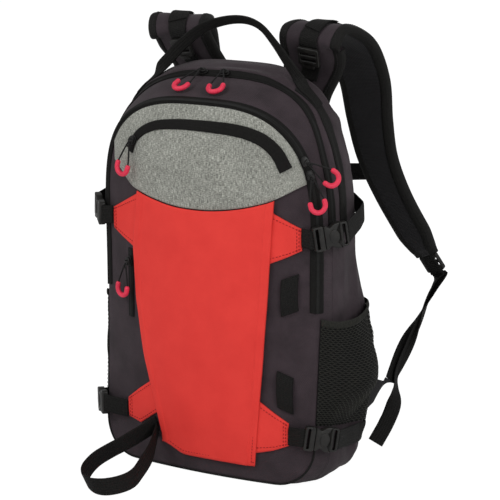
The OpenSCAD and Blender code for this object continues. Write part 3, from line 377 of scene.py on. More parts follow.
def stitchPart(path, face, pitch=4.0, length=2.8, radius=0.38):
    # sewing stitches: small flattened beads of four rings, laid end to end along a path
    fine, place = resample(path, pitch)
    t = tangents(fine)
    f = unit(valuesAt(place, np.broadcast_to(face, path.shape)))
    s = np.cross(f, t)
    ring = np.linspace(0, 2 * np.pi, 6, endpoint=False)
    reach = np.array([-1.0, -0.5, 0.5, 1.0])[:, None]
    size = np.array([0.25, 1.0, 1.0, 0.25])[:, None]
    local = np.stack([np.broadcast_to(reach * length / 2, (4, 6)), size * np.cos(ring) * radius * 1.4,
                      -size * np.sin(ring) * radius], -1)[None]
    spread = (local[..., i, None] * v[:, None, None] for i, v in enumerate((t, s, f)))
    points = sum(spread, fine[:, None, None])
    one = gridPart(points[0], closeV=True, caps=True)
    verts = np.concatenate([points.reshape(len(fine), -1, 3), points[:, [0, -1]].mean(2)], 1)
    shift = np.arange(len(fine))[:, None, None] * verts.shape[1]
    return (verts.reshape(-1, 3), (one[1][None] + shift).reshape(-1, 4), (one[2][None] + shift).reshape(-1, 3),
            np.tile(one[3], (len(fine), 1, 1)), np.tile(one[4], (len(fine), 1, 1)))


def placed(part, p, along, face):
    # part moved from its own frame: X to along, Z to face
    basis = np.stack([along, np.cross(face, along), face])
    return (part[0] @ basis + p, *part[1:])


def mirrored(part):
    # right to left, with the corners of each face turned round so that it still points outwards
    verts, quads, tris, uv, triUv = part
    return verts * [-1, 1, 1], quads[:, ::-1], tris[:, ::-1], uv[:, ::-1], triUv[:, ::-1]


def both(part):  # right and left
    return [part, mirrored(part)]


def makePiece(name, parts, material, body="pack", nodes=(), bend=None):
    # parts joined into one mesh, in place of its CAD nodes; on its body unless a bend is given
    parts = [parts] if isinstance(parts, tuple) else parts
    start = np.cumsum([0] + [len(p[0]) for p in parts])
    verts = np.concatenate([p[0] for p in parts]) * mm
    quads = np.concatenate([p[1] + s for p, s in zip(parts, start)])
    tris = np.concatenate([p[2] + s for p, s in zip(parts, start)])
    mesh = bpy.data.meshes.new(name)
    mesh.from_pydata(verts.tolist(), [], quads.tolist() + tris.tolist())
    flat = np.concatenate([p[i].reshape(-1) for i in (3, 4) for p in parts])
    mesh.uv_layers.new(name="cut").data.foreach_set("uv", flat.astype(np.float32))
    mesh.polygons.foreach_set("use_smooth", np.ones(len(mesh.polygons), bool))
    mesh.materials.append(material)
    mesh.update()
    piece = bpy.data.objects.new(name, mesh)
    bpy.context.collection.objects.link(piece)
    if bend is None:
        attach(piece, body)
    else:  # left where it is made, on no body
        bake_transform(piece)
    if nodes:
        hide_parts(*([nodes] if isinstance(nodes, str) else nodes))
    return piece


# pack body: the same sections as the solids, from back to front
pack = dict(height=508, half=160, depth=170, reach=78, lean=28, shoulder=300, full=230, wrap=36, wrapEase=22,
            wrapRim=10, crown=14, middle=244, topTurn=108, topRun=100, arch=3, seat=0.6, floor=0.2)
# inset, drop, foot, share, change of share at the top, shift, lower corner radius
sections = np.array([[36, 12, 12, 0, 0, -16, 30], [12, 2, 0, 0, 0, -24, 30],
                     [2, -2, 0, 0.34, -0.04, 0, 30], [0, 3, 0, 0.62, -0.12, 0, 33],
                     [2, 12, 0, 0.83, -0.23, 0, 39], [9.5, 37, 3, 1, 0, 0, 48]], float)
back, corner, _, seam, mainLine, frontLine = range(6)  # the third is where the side is fullest
outlineSteps = dict(foot=14, corner=12, side=34, top=60)
seat = pack["seat"]


def backY(z):  # leans forward with the square of the height
    return pack["depth"] - pack["reach"] - pack["lean"] * (z / pack["height"]) ** 2


def frontY(x, z):
    # crowned up and down, and wrapped back at the sides, both by squares; the wrap eases towards foot and top
    t = (z - pack["full"]) / pack["full"]
    wrap = pack["wrap"] - pack["wrapEase"] * t * t
    return -pack["reach"] + pack["crown"] * t * t + wrap * (x / (pack["half"] - pack["wrapRim"])) ** 2


def depthY(k, x, z):
    # blend of back and front by the section's share, which changes over the top, and the section's shift
    share = sections[k, 3] + sections[k, 4] * ease((z - pack["height"] + pack["topTurn"]) / pack["topRun"])
    return mix(backY(z), frontY(x, z), share) + sections[k, 5]


def sectionSize(k):  # half width, foot, corner radius, and rise of the arch above the shoulder
    rise = pack["height"] - sections[k, 1] - pack["shoulder"]
    return pack["half"] - sections[k, 0], sections[k, 2], sections[k, 6], rise


def outlineXZ(k):
    # right half from the middle of the foot: flat foot, round corner, straight side, arched top; then mirrored
    a, foot, radius, rise = sectionSize(k)
    n = outlineSteps
    i, j = np.arange(n["foot"]) / n["foot"], np.arange(n["side"]) / n["side"]
    bend = np.radians(90 * np.arange(n["corner"]) / n["corner"])
    turn = np.radians(90 * np.arange(n["top"] + 1) / n["top"])
    q = (np.cos(turn) ** pack["arch"] + np.sin(turn) ** pack["arch"]) ** (-1 / pack["arch"])
    x = np.concatenate([(a - radius) * i, a - radius + radius * np.sin(bend), np.full(len(j), a),
                        a * np.cos(turn) * q])
    z = np.concatenate([np.full(len(i), foot), foot + radius - radius * np.cos(bend),
                        mix(foot + radius, pack["shoulder"], j), pack["shoulder"] + rise * np.sin(turn) * q])
    return np.concatenate([x, -x[-2:0:-1]]), np.concatenate([z, z[-2:0:-1]])


def ring(k, s=1.0):
    # a section's outline, drawn in to s of its size round the pack's middle
    x, z = outlineXZ(k)
    x, z = x * s, pack["middle"] + (z - pack["middle"]) * s
    return np.stack([x, depthY(k, x, z), z], -1)


noiseCells = 32
noiseBox = np.random.RandomState(7).rand(noiseCells, noiseCells, noiseCells)


def clothNoise(p, size, shift=0.0):
    # smooth value noise: eased blend of the eight random numbers at the corners of a cell of this size
    g = p / size + shift + 500
    i = np.floor(g).astype(int)
    f = ease(g - i)
    total = 0
    for d in np.ndindex(2, 2, 2):
        x, y, z = np.moveaxis((i + d) % noiseCells, -1, 0)
        total = total + np.abs(1 - np.array(d) - f).prod(-1) * noiseBox[x, y, z]
    return total * 2 - 1


gusset = dict(bulge=(1.5, 2.0, 1.2, 1.6, 1.0), calm=(1, 1, 1, 1, 0.4), wrinkle=2.6, wrinkleSize=46, crease=1.8,
              creaseSize=21, swell=17, swellAt=140, swellRun=165, swellEnd=2.6, swellFrom=90, swellWide=50)


def between(k):  # number of the section behind each place
    return np.clip(np.floor(k), 0, frontLine - 1).astype(int)


def gussetLift(k, p):
    # cloth between two seams stands out in the middle, with soft wrinkles that die out at the seams
    i = between(k)
    window = np.sin(np.pi * np.clip(k - i, 0, 1)) ** 1.3
    wrinkle = gusset["wrinkle"] * clothNoise(p * [1, 1, 0.7], gusset["wrinkleSize"]) \
        + gusset["crease"] * clothNoise(p * [0.6, 0.5, 1.4], gusset["creaseSize"], 3.3)
    # the loaded bag stands out at the lower sides, most near the back corner
    low = np.cos(np.pi / 2 * np.clip((p[..., 2] - gusset["swellAt"]) / gusset["swellRun"], -1, 1)) ** 2
    swell = gusset["swell"] * low * np.sin(np.pi * np.clip(k / gusset["swellEnd"], 0, 1)) ** 1.5
    swell = swell * ease((np.abs(p[..., 0]) - gusset["swellFrom"]) / gusset["swellWide"])
    return window * (np.array(gusset["bulge"])[i] + wrinkle * np.array(gusset["calm"])[i]) + swell


clear = dict(slope=1.15, margin=0.4, soft=2)


def clearOf(own, stand):
    # smooth larger of the cloth's own lift, with a margin for its slope, and the stand-off of what lies over it
    own = clear["slope"] * own + clear["margin"]
    return 0.5 * (own + stand + np.sqrt((own - stand) ** 2 + clear["soft"]))


frontSwell = dict(half=150, middle=236, tall=232, swell=1.0, wrinkle=1.3, wrinkleSize=62, crease=0.7,
                  creaseSize=24)


def flatPoint(x, z):  # place on the front seen flat, for noise
    return np.stack([x, np.zeros_like(x), z], -1)


def frontLift(x, z):
    # the front swells a little and wrinkles between its edges
    window = np.clip(1 - (x / frontSwell["half"]) ** 6, 0, 1)
    window = window * np.clip(1 - ((z - frontSwell["middle"]) / frontSwell["tall"]) ** 6, 0, 1)
    p = flatPoint(x, z)
    wrinkle = frontSwell["wrinkle"] * clothNoise(p, frontSwell["wrinkleSize"], 1.7)
    crease = frontSwell["crease"] * clothNoise(p * [1, 1, 0.6], frontSwell["creaseSize"], 5.1)
    return window * (frontSwell["swell"] + wrinkle + crease)


def frontPoint(x, z, lift):  # on the front cloth, stood off by lift
    x, z = np.broadcast_arrays(np.asarray(x, float), np.asarray(z, float))
    return np.stack([x, frontY(x, z) - frontLift(x, z) - lift, z], -1)


def frontFace(x, z, step=2.0):  # outward direction: the step across crossed with the step up
    dx = frontPoint(x + step, z, 0) - frontPoint(x - step, z, 0)
    dz = frontPoint(x, z + step, 0) - frontPoint(x, z - step, 0)
    return unit(np.cross(dx, dz))


def sectionX(k, z):
    # half width of a section at a height: round lower corner, straight side, arch above the shoulder
    a, foot, radius, rise = sectionSize(k)
    high = np.maximum(1 - np.maximum((z - pack["shoulder"]) / rise, 0) ** pack["arch"], 0) ** (1 / pack["arch"])
    low = a - radius + np.sqrt(np.maximum(radius ** 2 - np.maximum(foot + radius - z, 0) ** 2, 0))
    return np.where(z > pack["shoulder"], a * high, low)


def sideRow(k, z):  # a section's right edge at a height
    x = sectionX(k, z)
    return np.stack([x, depthY(k, x, z), z], -1)


def sideMid(k, z):
    # right side between sections, k counted in sections: straight blend of the two nearest
    k, z = np.broadcast_arrays(np.asarray(k, float), np.asarray(z, float))
    i = between(k)
    rows = np.stack([sideRow(j, z) for j in range(len(sections))])
    pick = lambda j: np.take_along_axis(rows, j[None, ..., None], 0)[0]
    return mix(pick(i), pick(i + 1), (k - i)[..., None])


def sideNormal(k, z):  # the step backwards crossed with the step up
    aft = sideMid(np.maximum(k - 0.5, 0), z) - sideMid(np.minimum(k + 0.5, frontLine), z)
    up = sideMid(k, z + 1) - sideMid(k, z - 1)
    return unit(np.cross(aft, up))


def bodyRows(first, last, count):
    # straight blend of neighbouring sections, then pushed out along the grid's own normal
    k = np.linspace(first, last, count)
    rings = np.stack([ring(j) for j in range(len(sections))])
    i = between(k)
    flat = mix(rings[i], rings[i + 1], (k - i)[:, None, None])
    normal = unit(np.cross(np.gradient(flat, axis=0), np.roll(flat, 1, 1) - np.roll(flat, -1, 1)))
    out = flat + normal * gussetLift(k[:, None] * np.ones(flat.shape[1]), flat)[..., None]
    out[..., 2] = np.maximum(out[..., 2], pack["floor"])
    return out


def closedShell(rows):  # rings from back to front, closed by a fan at each end
    return gridPart(rows[:, ::-1], closeV=True, caps=True)


capSteps = np.array([0.25, 0.5, 0.75, 0.9])
backCap = np.stack([ring(back, s) for s in capSteps])
mainCap = np.stack([ring(mainLine, s) for s in capSteps])
mainRows = np.concatenate([backCap, bodyRows(back, mainLine, 97), mainCap[::-1]])
mainBag = makePiece("mainBag", closedShell(mainRows), packCloth, nodes="main_compartment")

frontRows = bodyRows(mainLine, frontLine, 25)
frontRows[0] = frontRows[0] + [0, -0.8, 0]  # clear of the main bag at the seam
rims = [ring(frontLine, s) for s in np.linspace(0.985, 0.03, 54)]
frontCap = np.stack([frontPoint(p[:, 0], p[:, 2], 0) for p in rims])
frontRows = np.concatenate([mainCap + [0, -2, 0], frontRows, frontCap])
frontBag = makePiece("frontBag", closedShell(frontRows), packCloth, nodes="front_compartment")
print("stage: pack body")


# zips: a tape bent along its middle, with a raised coil
def halfOutline(k, low, upper):
    # right half of a section's outline from the foot upwards, cut at a height: the part above or below it
    x, z = outlineXZ(k)
    half = len(x) // 2 + 1
    x, z = x[:half], z[:half]
    keep = z > low if upper else z < low
    end = sectionX(k, np.array(low, float))
    if upper:
        return np.append(end, x[keep]), np.append(low, z[keep])
    return np.append(x[keep], end), np.append(z[keep], low)


def ringPath(k, low, gap=1.0):
    # a section's outline above a height, from the right side over the top to the left
    x, z = halfOutline(k, low, True)
    x, z = np.concatenate([x, -x[-2::-1]]), np.concatenate([z, z[-2::-1]])
    return resample(np.stack([x, depthY(k, x, z), z], -1), gap)[0]


def toSection(k, q, path):
    # way from one section to the matching place on another
    (a, _, _, rise), (b, _, _, otherRise) = sectionSize(k), sectionSize(q)
    x, over = path[:, 0] * b / a, path[:, 2] - pack["shoulder"]
    z = np.where(over > 0, pack["shoulder"] + over * (otherRise / rise), path[:, 2])
    return np.stack([x, depthY(q, x, z), z], -1) - path


def acrossTo(k, q, path):  # the same as a direction
    return unit(toSection(k, q, path))


def frontInward(path, share=0.94):  # way towards the middle of the front
    x, z = path[:, 0] * share, mix(pack["middle"], path[:, 2], share)
    return unit(np.stack([x, frontY(x, z), z], -1) - path)


def bandGrid(k, path, width, count):
    # band laid along a section: its middle surface on the cloth, and its outward direction
    aft = toSection(k, k - 1, path)
    fore = frontInward(path) * 30 if k == frontLine else toSection(k, k + 1, path)
    face = unit(np.cross(tangents(path), unit(unit(fore) - unit(aft))))
    q = np.linspace(-1, 1, count)
    toAft, toFore = (np.linalg.norm(v, axis=-1)[:, None] for v in (aft, fore))
    part = np.where(q < 0, -q / toAft, q / toFore) * np.reshape(width, (-1, 1)) / 2
    mid = path[:, None] + np.where(q[None, :, None] < 0, aft[:, None], fore[:, None]) * part[..., None]
    stand = gussetLift(np.where(q < 0, k - part, np.minimum(k + part, frontLine)), mid)
    if k == frontLine:
        stand = np.where(q < 0, stand, frontLift(mid[..., 0], mid[..., 2]))
    return mid + face[:, None] * stand[..., None], aft, fore, face


zipLook = dict(width=10, flap=14, spread=5, spreadFrom=430, spreadRun=130, tape=1.0, coilWidth=3.6,
               coilRise=1.2, tooth=1.9, ripple=0.22, columns=9)


def zipParts(path, aft, fore, face, width, rise=1.0, mid=None):
    # tape: thin bent strip; coil: a low ridge whose height ripples tooth by tooth, four rows to a tooth
    q = np.linspace(-1, 1, zipLook["columns"])[None, :, None]
    if mid is None:
        push = np.where(q < 0, -aft[:, None] * q, fore[:, None] * q)
        mid = path[:, None] + push * np.broadcast_to(width, len(path))[:, None, None] / 2
    top = mid + face[:, None] * (seat + zipLook["tape"] * (1 - 0.5 * np.abs(q) ** 6))
    tape = slabPart(top, mid + face[:, None] * seat * 0.4)
    fine, place = resample(path, zipLook["tooth"] / 4)
    f, side = unit(valuesAt(place, face))[:, None], unit(valuesAt(place, unit(fore - aft)))[:, None]
    turn = np.linspace(0, np.pi, zipLook["columns"])[None, :, None]
    ripple = 1 + zipLook["ripple"] * np.sin(2 * np.pi * np.arange(len(fine)) / 4)[:, None, None]
    reach = side * (-np.cos(turn) * zipLook["coilWidth"] / 2)
    height = seat + zipLook["tape"] * 0.8 + np.sin(turn) * zipLook["coilRise"] * rise * 0.75 * ripple
    arch = fine[:, None] + reach * mix(1, ripple, 0.35) + f * height
    return tape, slabPart(arch, fine[:, None] + reach + f * seat * 0.9)


def makeZip(name, tape, coil, node):  # both pieces; the tape stands for the CAD node
    makePiece(name + "Tape", tape, zipTape, nodes=node)
    makePiece(name + "Coil", coil, coilNylon)


def ringZip(name, k, low, node):
    # along a section; the tape shows wider where the zip comes down the side
    path = ringPath(k, low)
    down = ease((zipLook["spreadFrom"] - path[:, 2]) / zipLook["spreadRun"])
    width = zipLook["flap" if k == frontLine else "width"] + zipLook["spread"] * down
    mid, aft, fore, face = bandGrid(k, path, width, zipLook["columns"])
    makeZip(name, *zipParts(path, unit(aft), unit(fore), face, width, 0.35, mid), node)


def flatZip(name, path, face, width, rise, node):  # on the front, its tape square to path and face
    across = unit(np.cross(face, tangents(path)))
    makeZip(name, *zipParts(path, -across, across, face, width, rise), node)


ringZip("mainZip", mainLine, 322, "main_zip")
ringZip("frontZip", frontLine, 222, "front_zip")
print("stage: arched zips")

piping = dict(top=62, radius=1.3, sink=0.4)


def lowerSeam(k):
    # piping round the foot, a tube along the section's outline below a height
    radius = piping["radius"]
    x, z = halfOutline(k, piping["top"], False)
    x, z = np.concatenate([-x[:0:-1], x]), np.concatenate([z[:0:-1], z])
    path = resample(np.stack([x, depthY(k, x, z), np.maximum(z, radius + 0.1)], -1), 2.0)[0]
    out = unit(path - [0, 40, pack["middle"]]) * [1, 1, 0.2]
    path, size = roundEnds(path + out * radius * piping["sink"], radius)
    return tubePart(path, size, 8, ref=(0, 1, 0.2))


makePiece("lowerPiping", lowerSeam(frontLine), blackTape)

# goggle pocket and its zip
goggle = dict(half=130, halfRight=139.5, low=341, sag=16, cornerX=95, endRise=18, endRiseRight=5, endRun=46,
              archGap=4.5, depth=7, cloth=1.6, puff=2.4, puffSize=40, crease=1.1, creaseSize=18,
              zipWidth=(10, 17))


def goggleLow(x):
    # lower edge: rises with the square of the distance from the middle, and faster past the corners
    rise = np.where(x > 0, goggle["endRiseRight"], goggle["endRise"])
    end = ease((np.abs(x) - goggle["cornerX"] + 3) / goggle["endRun"])
    return goggle["low"] + goggle["sag"] * (x / goggle["cornerX"]) ** 2 + rise * end


def archZ(x, a, rise):  # height of an arch of this half width and rise above the shoulder
    return pack["shoulder"] + rise * (1 - (np.abs(x) / a) ** pack["arch"]) ** (1 / pack["arch"])


def goggleTop(x):  # the front section's arch, drawn in by a gap
    a, _, _, rise = sectionSize(frontLine)
    return archZ(x, a - goggle["archGap"], rise - goggle["archGap"])


def goggleSwell(x, z, half):
    # 0 at the pocket's edges and 1 in its middle: two square roots of parabolas, across and up
    u = np.maximum(1 - (x / half) ** 2, 0)
    v = (z - goggleLow(x)) / (goggleTop(x) - goggleLow(x))
    return np.sqrt(u) * np.sqrt(np.maximum(4 * v * (1 - v), 0))


def goggleLift(x, z):
    # the cloth, the swell of what is inside, and puffs and creases that die out at the edges
    swell = goggleSwell(x, z, np.where(x > 0, goggle["halfRight"], goggle["half"]))
    p = flatPoint(x, z)
    puff = goggle["puff"] * clothNoise(p, goggle["puffSize"], 9.2)
    crease = goggle["crease"] * clothNoise(p * [1.5, 1, 0.6], goggle["creaseSize"], 2.7)
    return seat + goggle["cloth"] + (goggle["depth"] - goggle["cloth"]) * swell + swell * (puff + crease)


def gogglePoint(x, z):  # the front's cloth with the pocket's lift on it
    return np.stack([x, frontY(x, z) - frontLift(x, z) - goggleLift(x, z), z], -1)


def gogglePocket():
    # grid closer towards its edges: sine across, cosine up
    u = np.linspace(-1, 1, 121)
    x = np.where(u > 0, goggle["halfRight"], goggle["half"]) * np.sin(u * np.pi / 2)
    x = x[:, None] * np.ones(49)
    v = 0.5 - 0.5 * np.cos(np.pi * np.linspace(0, 1, 49))
    z = mix(goggleLow(x), goggleTop(x), v[None])
    part = slabPart(gogglePoint(x, z), frontPoint(x, z, 0.3))
    piece = makePiece("gogglePocket", part, heather, nodes="goggle_pocket")


# share of the half width, and height below the pack's
goggleRoute = np.array([[-0.75, -106], [-0.71, -91], [-0.615, -79], [-0.45, -70], [-0.23, -66], [0, -65],
                        [0.23, -66], [0.46, -72], [0.66, -83], [0.815, -97], [0.9, -111]])
# the zip's right shoulder is squarer than the plain route
goggleShoulder = np.array([[0, 0]] * 6 + [[0, 0.5], [0, 4], [0.02, 7], [0, 7], [0, 0]])


def goggleTrack(gap=1.0, step=2):
    # smooth route on the pocket, and its outward direction
    r = np.concatenate([goggleRoute + goggleShoulder, np.zeros((len(goggleRoute), 1))], 1)
    r = spline(r, np.linspace(0, len(r) - 1, 240))
    x, z = r[:, 0] * goggle["half"], pack["height"] + r[:, 1]
    path = resample(gogglePoint(x, z), gap)[0]
    x, z = path[:, 0], path[:, 2]
    dx = gogglePoint(x + step, z) - gogglePoint(x - step, z)
    dz = gogglePoint(x, z + step) - gogglePoint(x, z - step)
    return path, unit(np.cross(dx, dz))


gogglePocket()
path, face = goggleTrack()
flatZip("goggleZip", path, face, np.linspace(*goggle["zipWidth"], len(path)), 0.12, "goggle_zip")

stash = dict(x=-103, low=190, top=278, slider=262.0)
path = frontPoint(np.full(60, stash["x"]), np.linspace(stash["low"], stash["top"], 60), 0)
flatZip("stashZip", path, frontFace(path[:, 0], path[:, 2]), zipLook["width"], 0.6, "stash_zip")
print("stage: goggle pocket and side zip")

# red panel, its wings, and the tool loops
# left and right: heights, and where the edge lies across; folds: height, width and soft edge
panel = dict(foot=24, cloth=1.6, puff=2.2, puffSize=70, creaseSize=30, leftLift=12, liftFrom=-18, liftRun=36,
             seamGap=1.1, hem=5, seamIn=4.5, stitchRise=0.5,
             left=([36, 76, 138, 214, 285, 357], [-54, -62, -77, -91, -96, -88]),
             right=([24, 108, 200, 281, 357], [78, 86, 94, 99, 103]),
             layers=(9.0, 4.2), layerStep=1.3, layerEdge=1.2, layerRise=2.8, layerFade=30, layerTop=130,
             layerRun=90, foldFrom=90, foldRun=40, leftFold=(0.7, 12, 3), rightFold=(0.9, 11, 2.5))
wingLift = seat + panel["cloth"]
panelLift = wingLift + seat


def panelSides(z):  # straight between the stated heights
    return np.interp(z, *panel["left"]), np.interp(z, *panel["right"])


def panelGrid(cols, rows):
    # across between the two sides, up from the foot, whose left part stands higher, to the goggle pocket
    v, u = np.linspace(0, 1, rows)[:, None], np.linspace(1, 0, cols)[None]
    left, right = panelSides(mix(panel["foot"], goggle["low"] + goggle["sag"], v))
    x = mix(left, right, u)
    low = panel["foot"] + panel["leftLift"] * ease((panel["liftFrom"] - x) / panel["liftRun"])
    return x, mix(low, goggleLow(x) - panel["seamGap"], v), u, v


def panelFold(x, z):
    # turned-in edges; towards the foot the right one lies in three layers, each showing beyond the one above
    left, right = panelSides(z)
    fromRight, layer = right - x, ease((panel["layerTop"] - z) / panel["layerRun"])
    rise, wide, soft = panel["rightFold"]
    fold = rise * ease((wide - fromRight) / soft) * ease((z - panel["foldFrom"]) / panel["foldRun"])
    fold = fold + panel["layerRise"] * layer * np.exp(-fromRight / panel["layerFade"])
    below = sum(1 - ease((fromRight - reach * layer) / panel["layerEdge"]) for reach in panel["layers"])
    rise, wide, soft = panel["leftFold"]
    return fold - panel["layerStep"] * layer * below + rise * ease((wide - (x - left)) / soft)


def redPanel():
    # stretched cloth: flat at its edges, a soft puff inside them, and stitches along sides and hem
    x, z, u, v = panelGrid(170, 110)
    edge = (np.sin(np.pi * u) * np.sin(np.pi * v)) ** 0.4
    p = flatPoint(x, z)
    puff = 0.6 + 0.5 * clothNoise(p, panel["puffSize"], 2.2) + 0.25 * clothNoise(p, panel["creaseSize"], 6.4)
    lift = panelLift + panel["cloth"] + panelFold(x, z) + edge * panel["puff"] * puff
    part = slabPart(frontPoint(x, z, lift), frontPoint(x, z, panelLift))
    piece = makePiece("redPanel", part, redCloth, nodes="front_panel")
    on, inside = panelLift + panel["cloth"] + panel["stitchRise"], slice(2, -2)
    threads = []
    for side, into in ((0, -panel["seamIn"]), (-1, panel["seamIn"])):
        sx, sz = x[inside, side], z[inside, side]
        threads.append(stitchPart(frontPoint(sx + into, sz, on), frontFace(sx, sz)))
    hemX, hemZ = x[0, inside], z[0, inside] + panel["hem"]
    threads.append(stitchPart(frontPoint(hemX, hemZ, on), frontFace(hemX, hemZ)))
    makePiece("redPanelStitches", threads, redThread)


# distance from the middle, upper and lower edge
upperWing = np.array([[84, 37, -40], [118, 18.5, -25], [134, 10, -16.5]], float)
lowerWing = np.array([[52, 65, -34], [102, 27, -21], [120, 15, -13.5]], float)
lowerWingLeft = np.array([[57, 54, 8], [90, 31, -15], [110, 15, -10]], float)
upperZ, lowerZ = 316, 68


def wingParts(stations, z0, left):
    # straight between three stations across, even from lower to upper edge; stitches inside each free edge
    k = np.linspace(0, 2, 41)[:, None]
    s = np.stack([np.interp(k, [0, 1, 2], stations[:, i]) for i in range(3)], -1)
    v = np.linspace(0, 1, 22)[None]
    x, z = np.broadcast_arrays(s[..., 0], z0 + mix(s[..., 2], s[..., 1], v))
    x = x * (-1 if left else 1)
    edge = np.sin(np.pi * v).clip(0) ** 0.5
    top, low = frontPoint(x, z, wingLift + 0.6 * edge), frontPoint(x, z, 0.15)
    order = (lambda g: g[:, ::-1]) if left else (lambda g: g)
    inside = slice(2, -2)
    seams = (((inside, 2), 0.5), ((-4, inside), 0.8), ((-7, inside), 0.8), ((inside, -3), 0.5))
    rim = [frontPoint(x[at], z[at], wingLift + rise) for at, rise in seams]
    return slabPart(order(top), order(low)), [stitchPart(p, frontFace(p[:, 0], p[:, 2])) for p in rim]


def redWings():  # both upper and both lower ones in one piece
    cloth, threads = [], []
    for wing in ((upperWing, upperZ, False), (upperWing, upperZ, True), (lowerWing, lowerZ, False),
                 (lowerWingLeft, lowerZ, True)):
        part, lines = wingParts(*wing)
        cloth.append(part)
        threads += lines
    wings = makePiece("redWings", cloth, redCloth, nodes="panel_wings")
    makePiece("redWingStitches", threads, redThread)


# middle across and up, and how much the right end stands higher
toolLoop = dict(width=19, length=46, rise=2.4, thick=1.8, places=((121, 244, 8), (116, 122, -8)))


def toolLoops():
    # flat webbing sewn at foot and top, eased out by the rise between them
    parts = []
    v, s = np.linspace(0, 1, 40)[:, None], np.linspace(0.5, -0.5, 15)[None]
    for cx, cz, slant in toolLoop["places"]:
        x = cx + toolLoop["width"] * s + 0 * v
        z = cz + toolLoop["length"] * (v - 0.5) + slant * s
        lift = toolLoop["rise"] * ease(4 * v * (1 - v)) + 0 * s
        top = lift + seat + toolLoop["thick"] - 0.5 * np.abs(2 * s) ** 6
        parts.append(slabPart(frontPoint(x, z, top), frontPoint(x, z, lift + 0.3)))
    makePiece("toolLoops", parts, blackWebbing, nodes="tool_loops")


redPanel()
redWings()
toolLoops()
print("stage: red panel and tool loops")

# side pockets: a knitted net of zigzag yarns, and an elastic mouth
# straps: height in front and at the back, and how far the buckle's mouth lies before the front edge of the side
upperStrap, lowerStrap = (316, 346, -6), (68, 40, 3)
web = dict(width=25, thick=1.8)


def strapZ(strap, k):  # straight from back to front, k counted in sections
    return mix(strap[1], strap[0], np.asarray(k, float) / frontLine)


pocket = dict(front=4.85, frontLean=0.15, back=1.2, depth=36, leftDepth=17, mouth=198, mouthLift=26,
              mouthLow=0.4, frontBow=2, backBow=0.9, mouthSlope=0.2, bulgeTurn=1.25, bulgeFlat=0.8,
              growth=2.2, mouthShare=0.45, gap=2, sewn=3, sewnFrom=0.93, sewnRun=0.07, rise=3.1, yarn=0.6,
              flat=0.6, yarns=33, yarnRun=146, binding=9, gathers=46)


def pocketPoint(u, v, lift, depth):
    # u from front to back, v from the lower strap to the mouth: the side's surface, stood off by a bulge
    # that is a sine from front to back, grows upwards, and falls to under half at the mouth
    s = np.minimum(v, 1)
    k = mix(pocket["front"] + pocket["frontLean"] * (1 - s), pocket["back"], u)
    low = strapZ(lowerStrap, k) + web["width"] / 2 + pocket["gap"]
    bow = np.where(u > pocket["mouthLow"], pocket["backBow"], pocket["frontBow"])
    bow = (u - pocket["mouthLow"]) ** 2 * bow + pocket["mouthSlope"] * u
    top = pocket["mouth"] + pocket["mouthLift"] * bow
    # the rear edge sinks into its seam
    sewn = pocket["sewn"] * ease((u - pocket["sewnFrom"]) / pocket["sewnRun"])
    bulge = depth * np.sin(np.pi * np.clip(u, 0, 1) ** pocket["bulgeTurn"]).clip(0) ** pocket["bulgeFlat"]
    bulge = bulge * mix(ease(s * pocket["growth"]), pocket["mouthShare"], ease(2 * s - 1))
    k, z = np.broadcast_arrays(k, mix(low, top, s) + pocket["binding"] * np.maximum(v - 1, 0))
    p = sideMid(k, z)
    return p + sideNormal(k, z) * (clearOf(gussetLift(k, p), bulge) + seat + lift - sewn)[..., None]


def pocketParts(depth):
    # yarn i runs up the pocket, swinging by half a mesh towards its neighbours in turn; the net is drawn coarse
    count = pocket["yarns"]
    i, t = np.arange(count)[:, None], np.linspace(0, 1, 260)[None]
    wave = np.sin(2 * np.pi * t * pocket["yarnRun"] / (2 * pocket["rise"]))
    swing = np.where(i % 2 == 0, 1, -1) * np.clip(1.5 * wave, -1, 1)
    u = (i + 0.5 + 0.5 * swing) / count
    mid = pocketPoint(np.clip(u, 0, 1), np.broadcast_to(t, u.shape), 0.7, depth)
    yarns = [tubePart(path, pocket["yarn"], sides=5, ref=(1, 0, 0), flat=pocket["flat"]) for path in mid]
    # a near-black inner sheet behind the yarns: a second mesh layer, its colour painted shade of the pocket's
    # inside
    gu, gv = np.meshgrid(np.linspace(0, 1, 70), np.linspace(0, 1.02, 50), indexing="ij")
    ground = slabPart(pocketPoint(gu, gv, 0.1, depth)[:, ::-1], pocketPoint(gu, gv, -0.4, depth)[:, ::-1])
    # the mouth's binding: an oval tube along the rim, gathered by its elastic
    rim = np.linspace(0, 1, 240)[:, None]
    turn = np.linspace(0, 2 * np.pi, 14, endpoint=False)[None]
    gather = 0.3 * np.sin(2 * np.pi * rim * pocket["gathers"])
    height = 1.5 + 0.5 * np.cos(turn) + 0 * rim
    thick = 1.3 + (1.1 + gather) * np.sin(turn)
    binding = gridPart(pocketPoint(rim + 0 * turn, height, thick, depth)[:, ::-1], closeV=True, caps=True)
    return yarns, ground, binding


yarns, ground, binding = pocketParts(pocket["depth"])
piece = makePiece("meshShadeGroundRight", ground, netShadeGround)
makePiece("meshPocketRight", yarns, netYarn, nodes="mesh_pocket_right")
yarns, ground, leftBinding = pocketParts(pocket["leftDepth"])
piece = makePiece("meshShadeGroundLeft", mirrored(ground), netShadeGround)
makePiece("meshPocketLeft", [mirrored(p) for p in yarns], netYarn, nodes="mesh_pocket_left")
bindings = [binding, mirrored(leftBinding)]
makePiece("pocketBindings", bindings, elasticBinding, nodes="pocket_bindings")
print("stage: side pockets")


# seam tape and grab handle
seamLook = dict(width=17, fromX=97, edge=0.6, rise=1.8, columns=11)


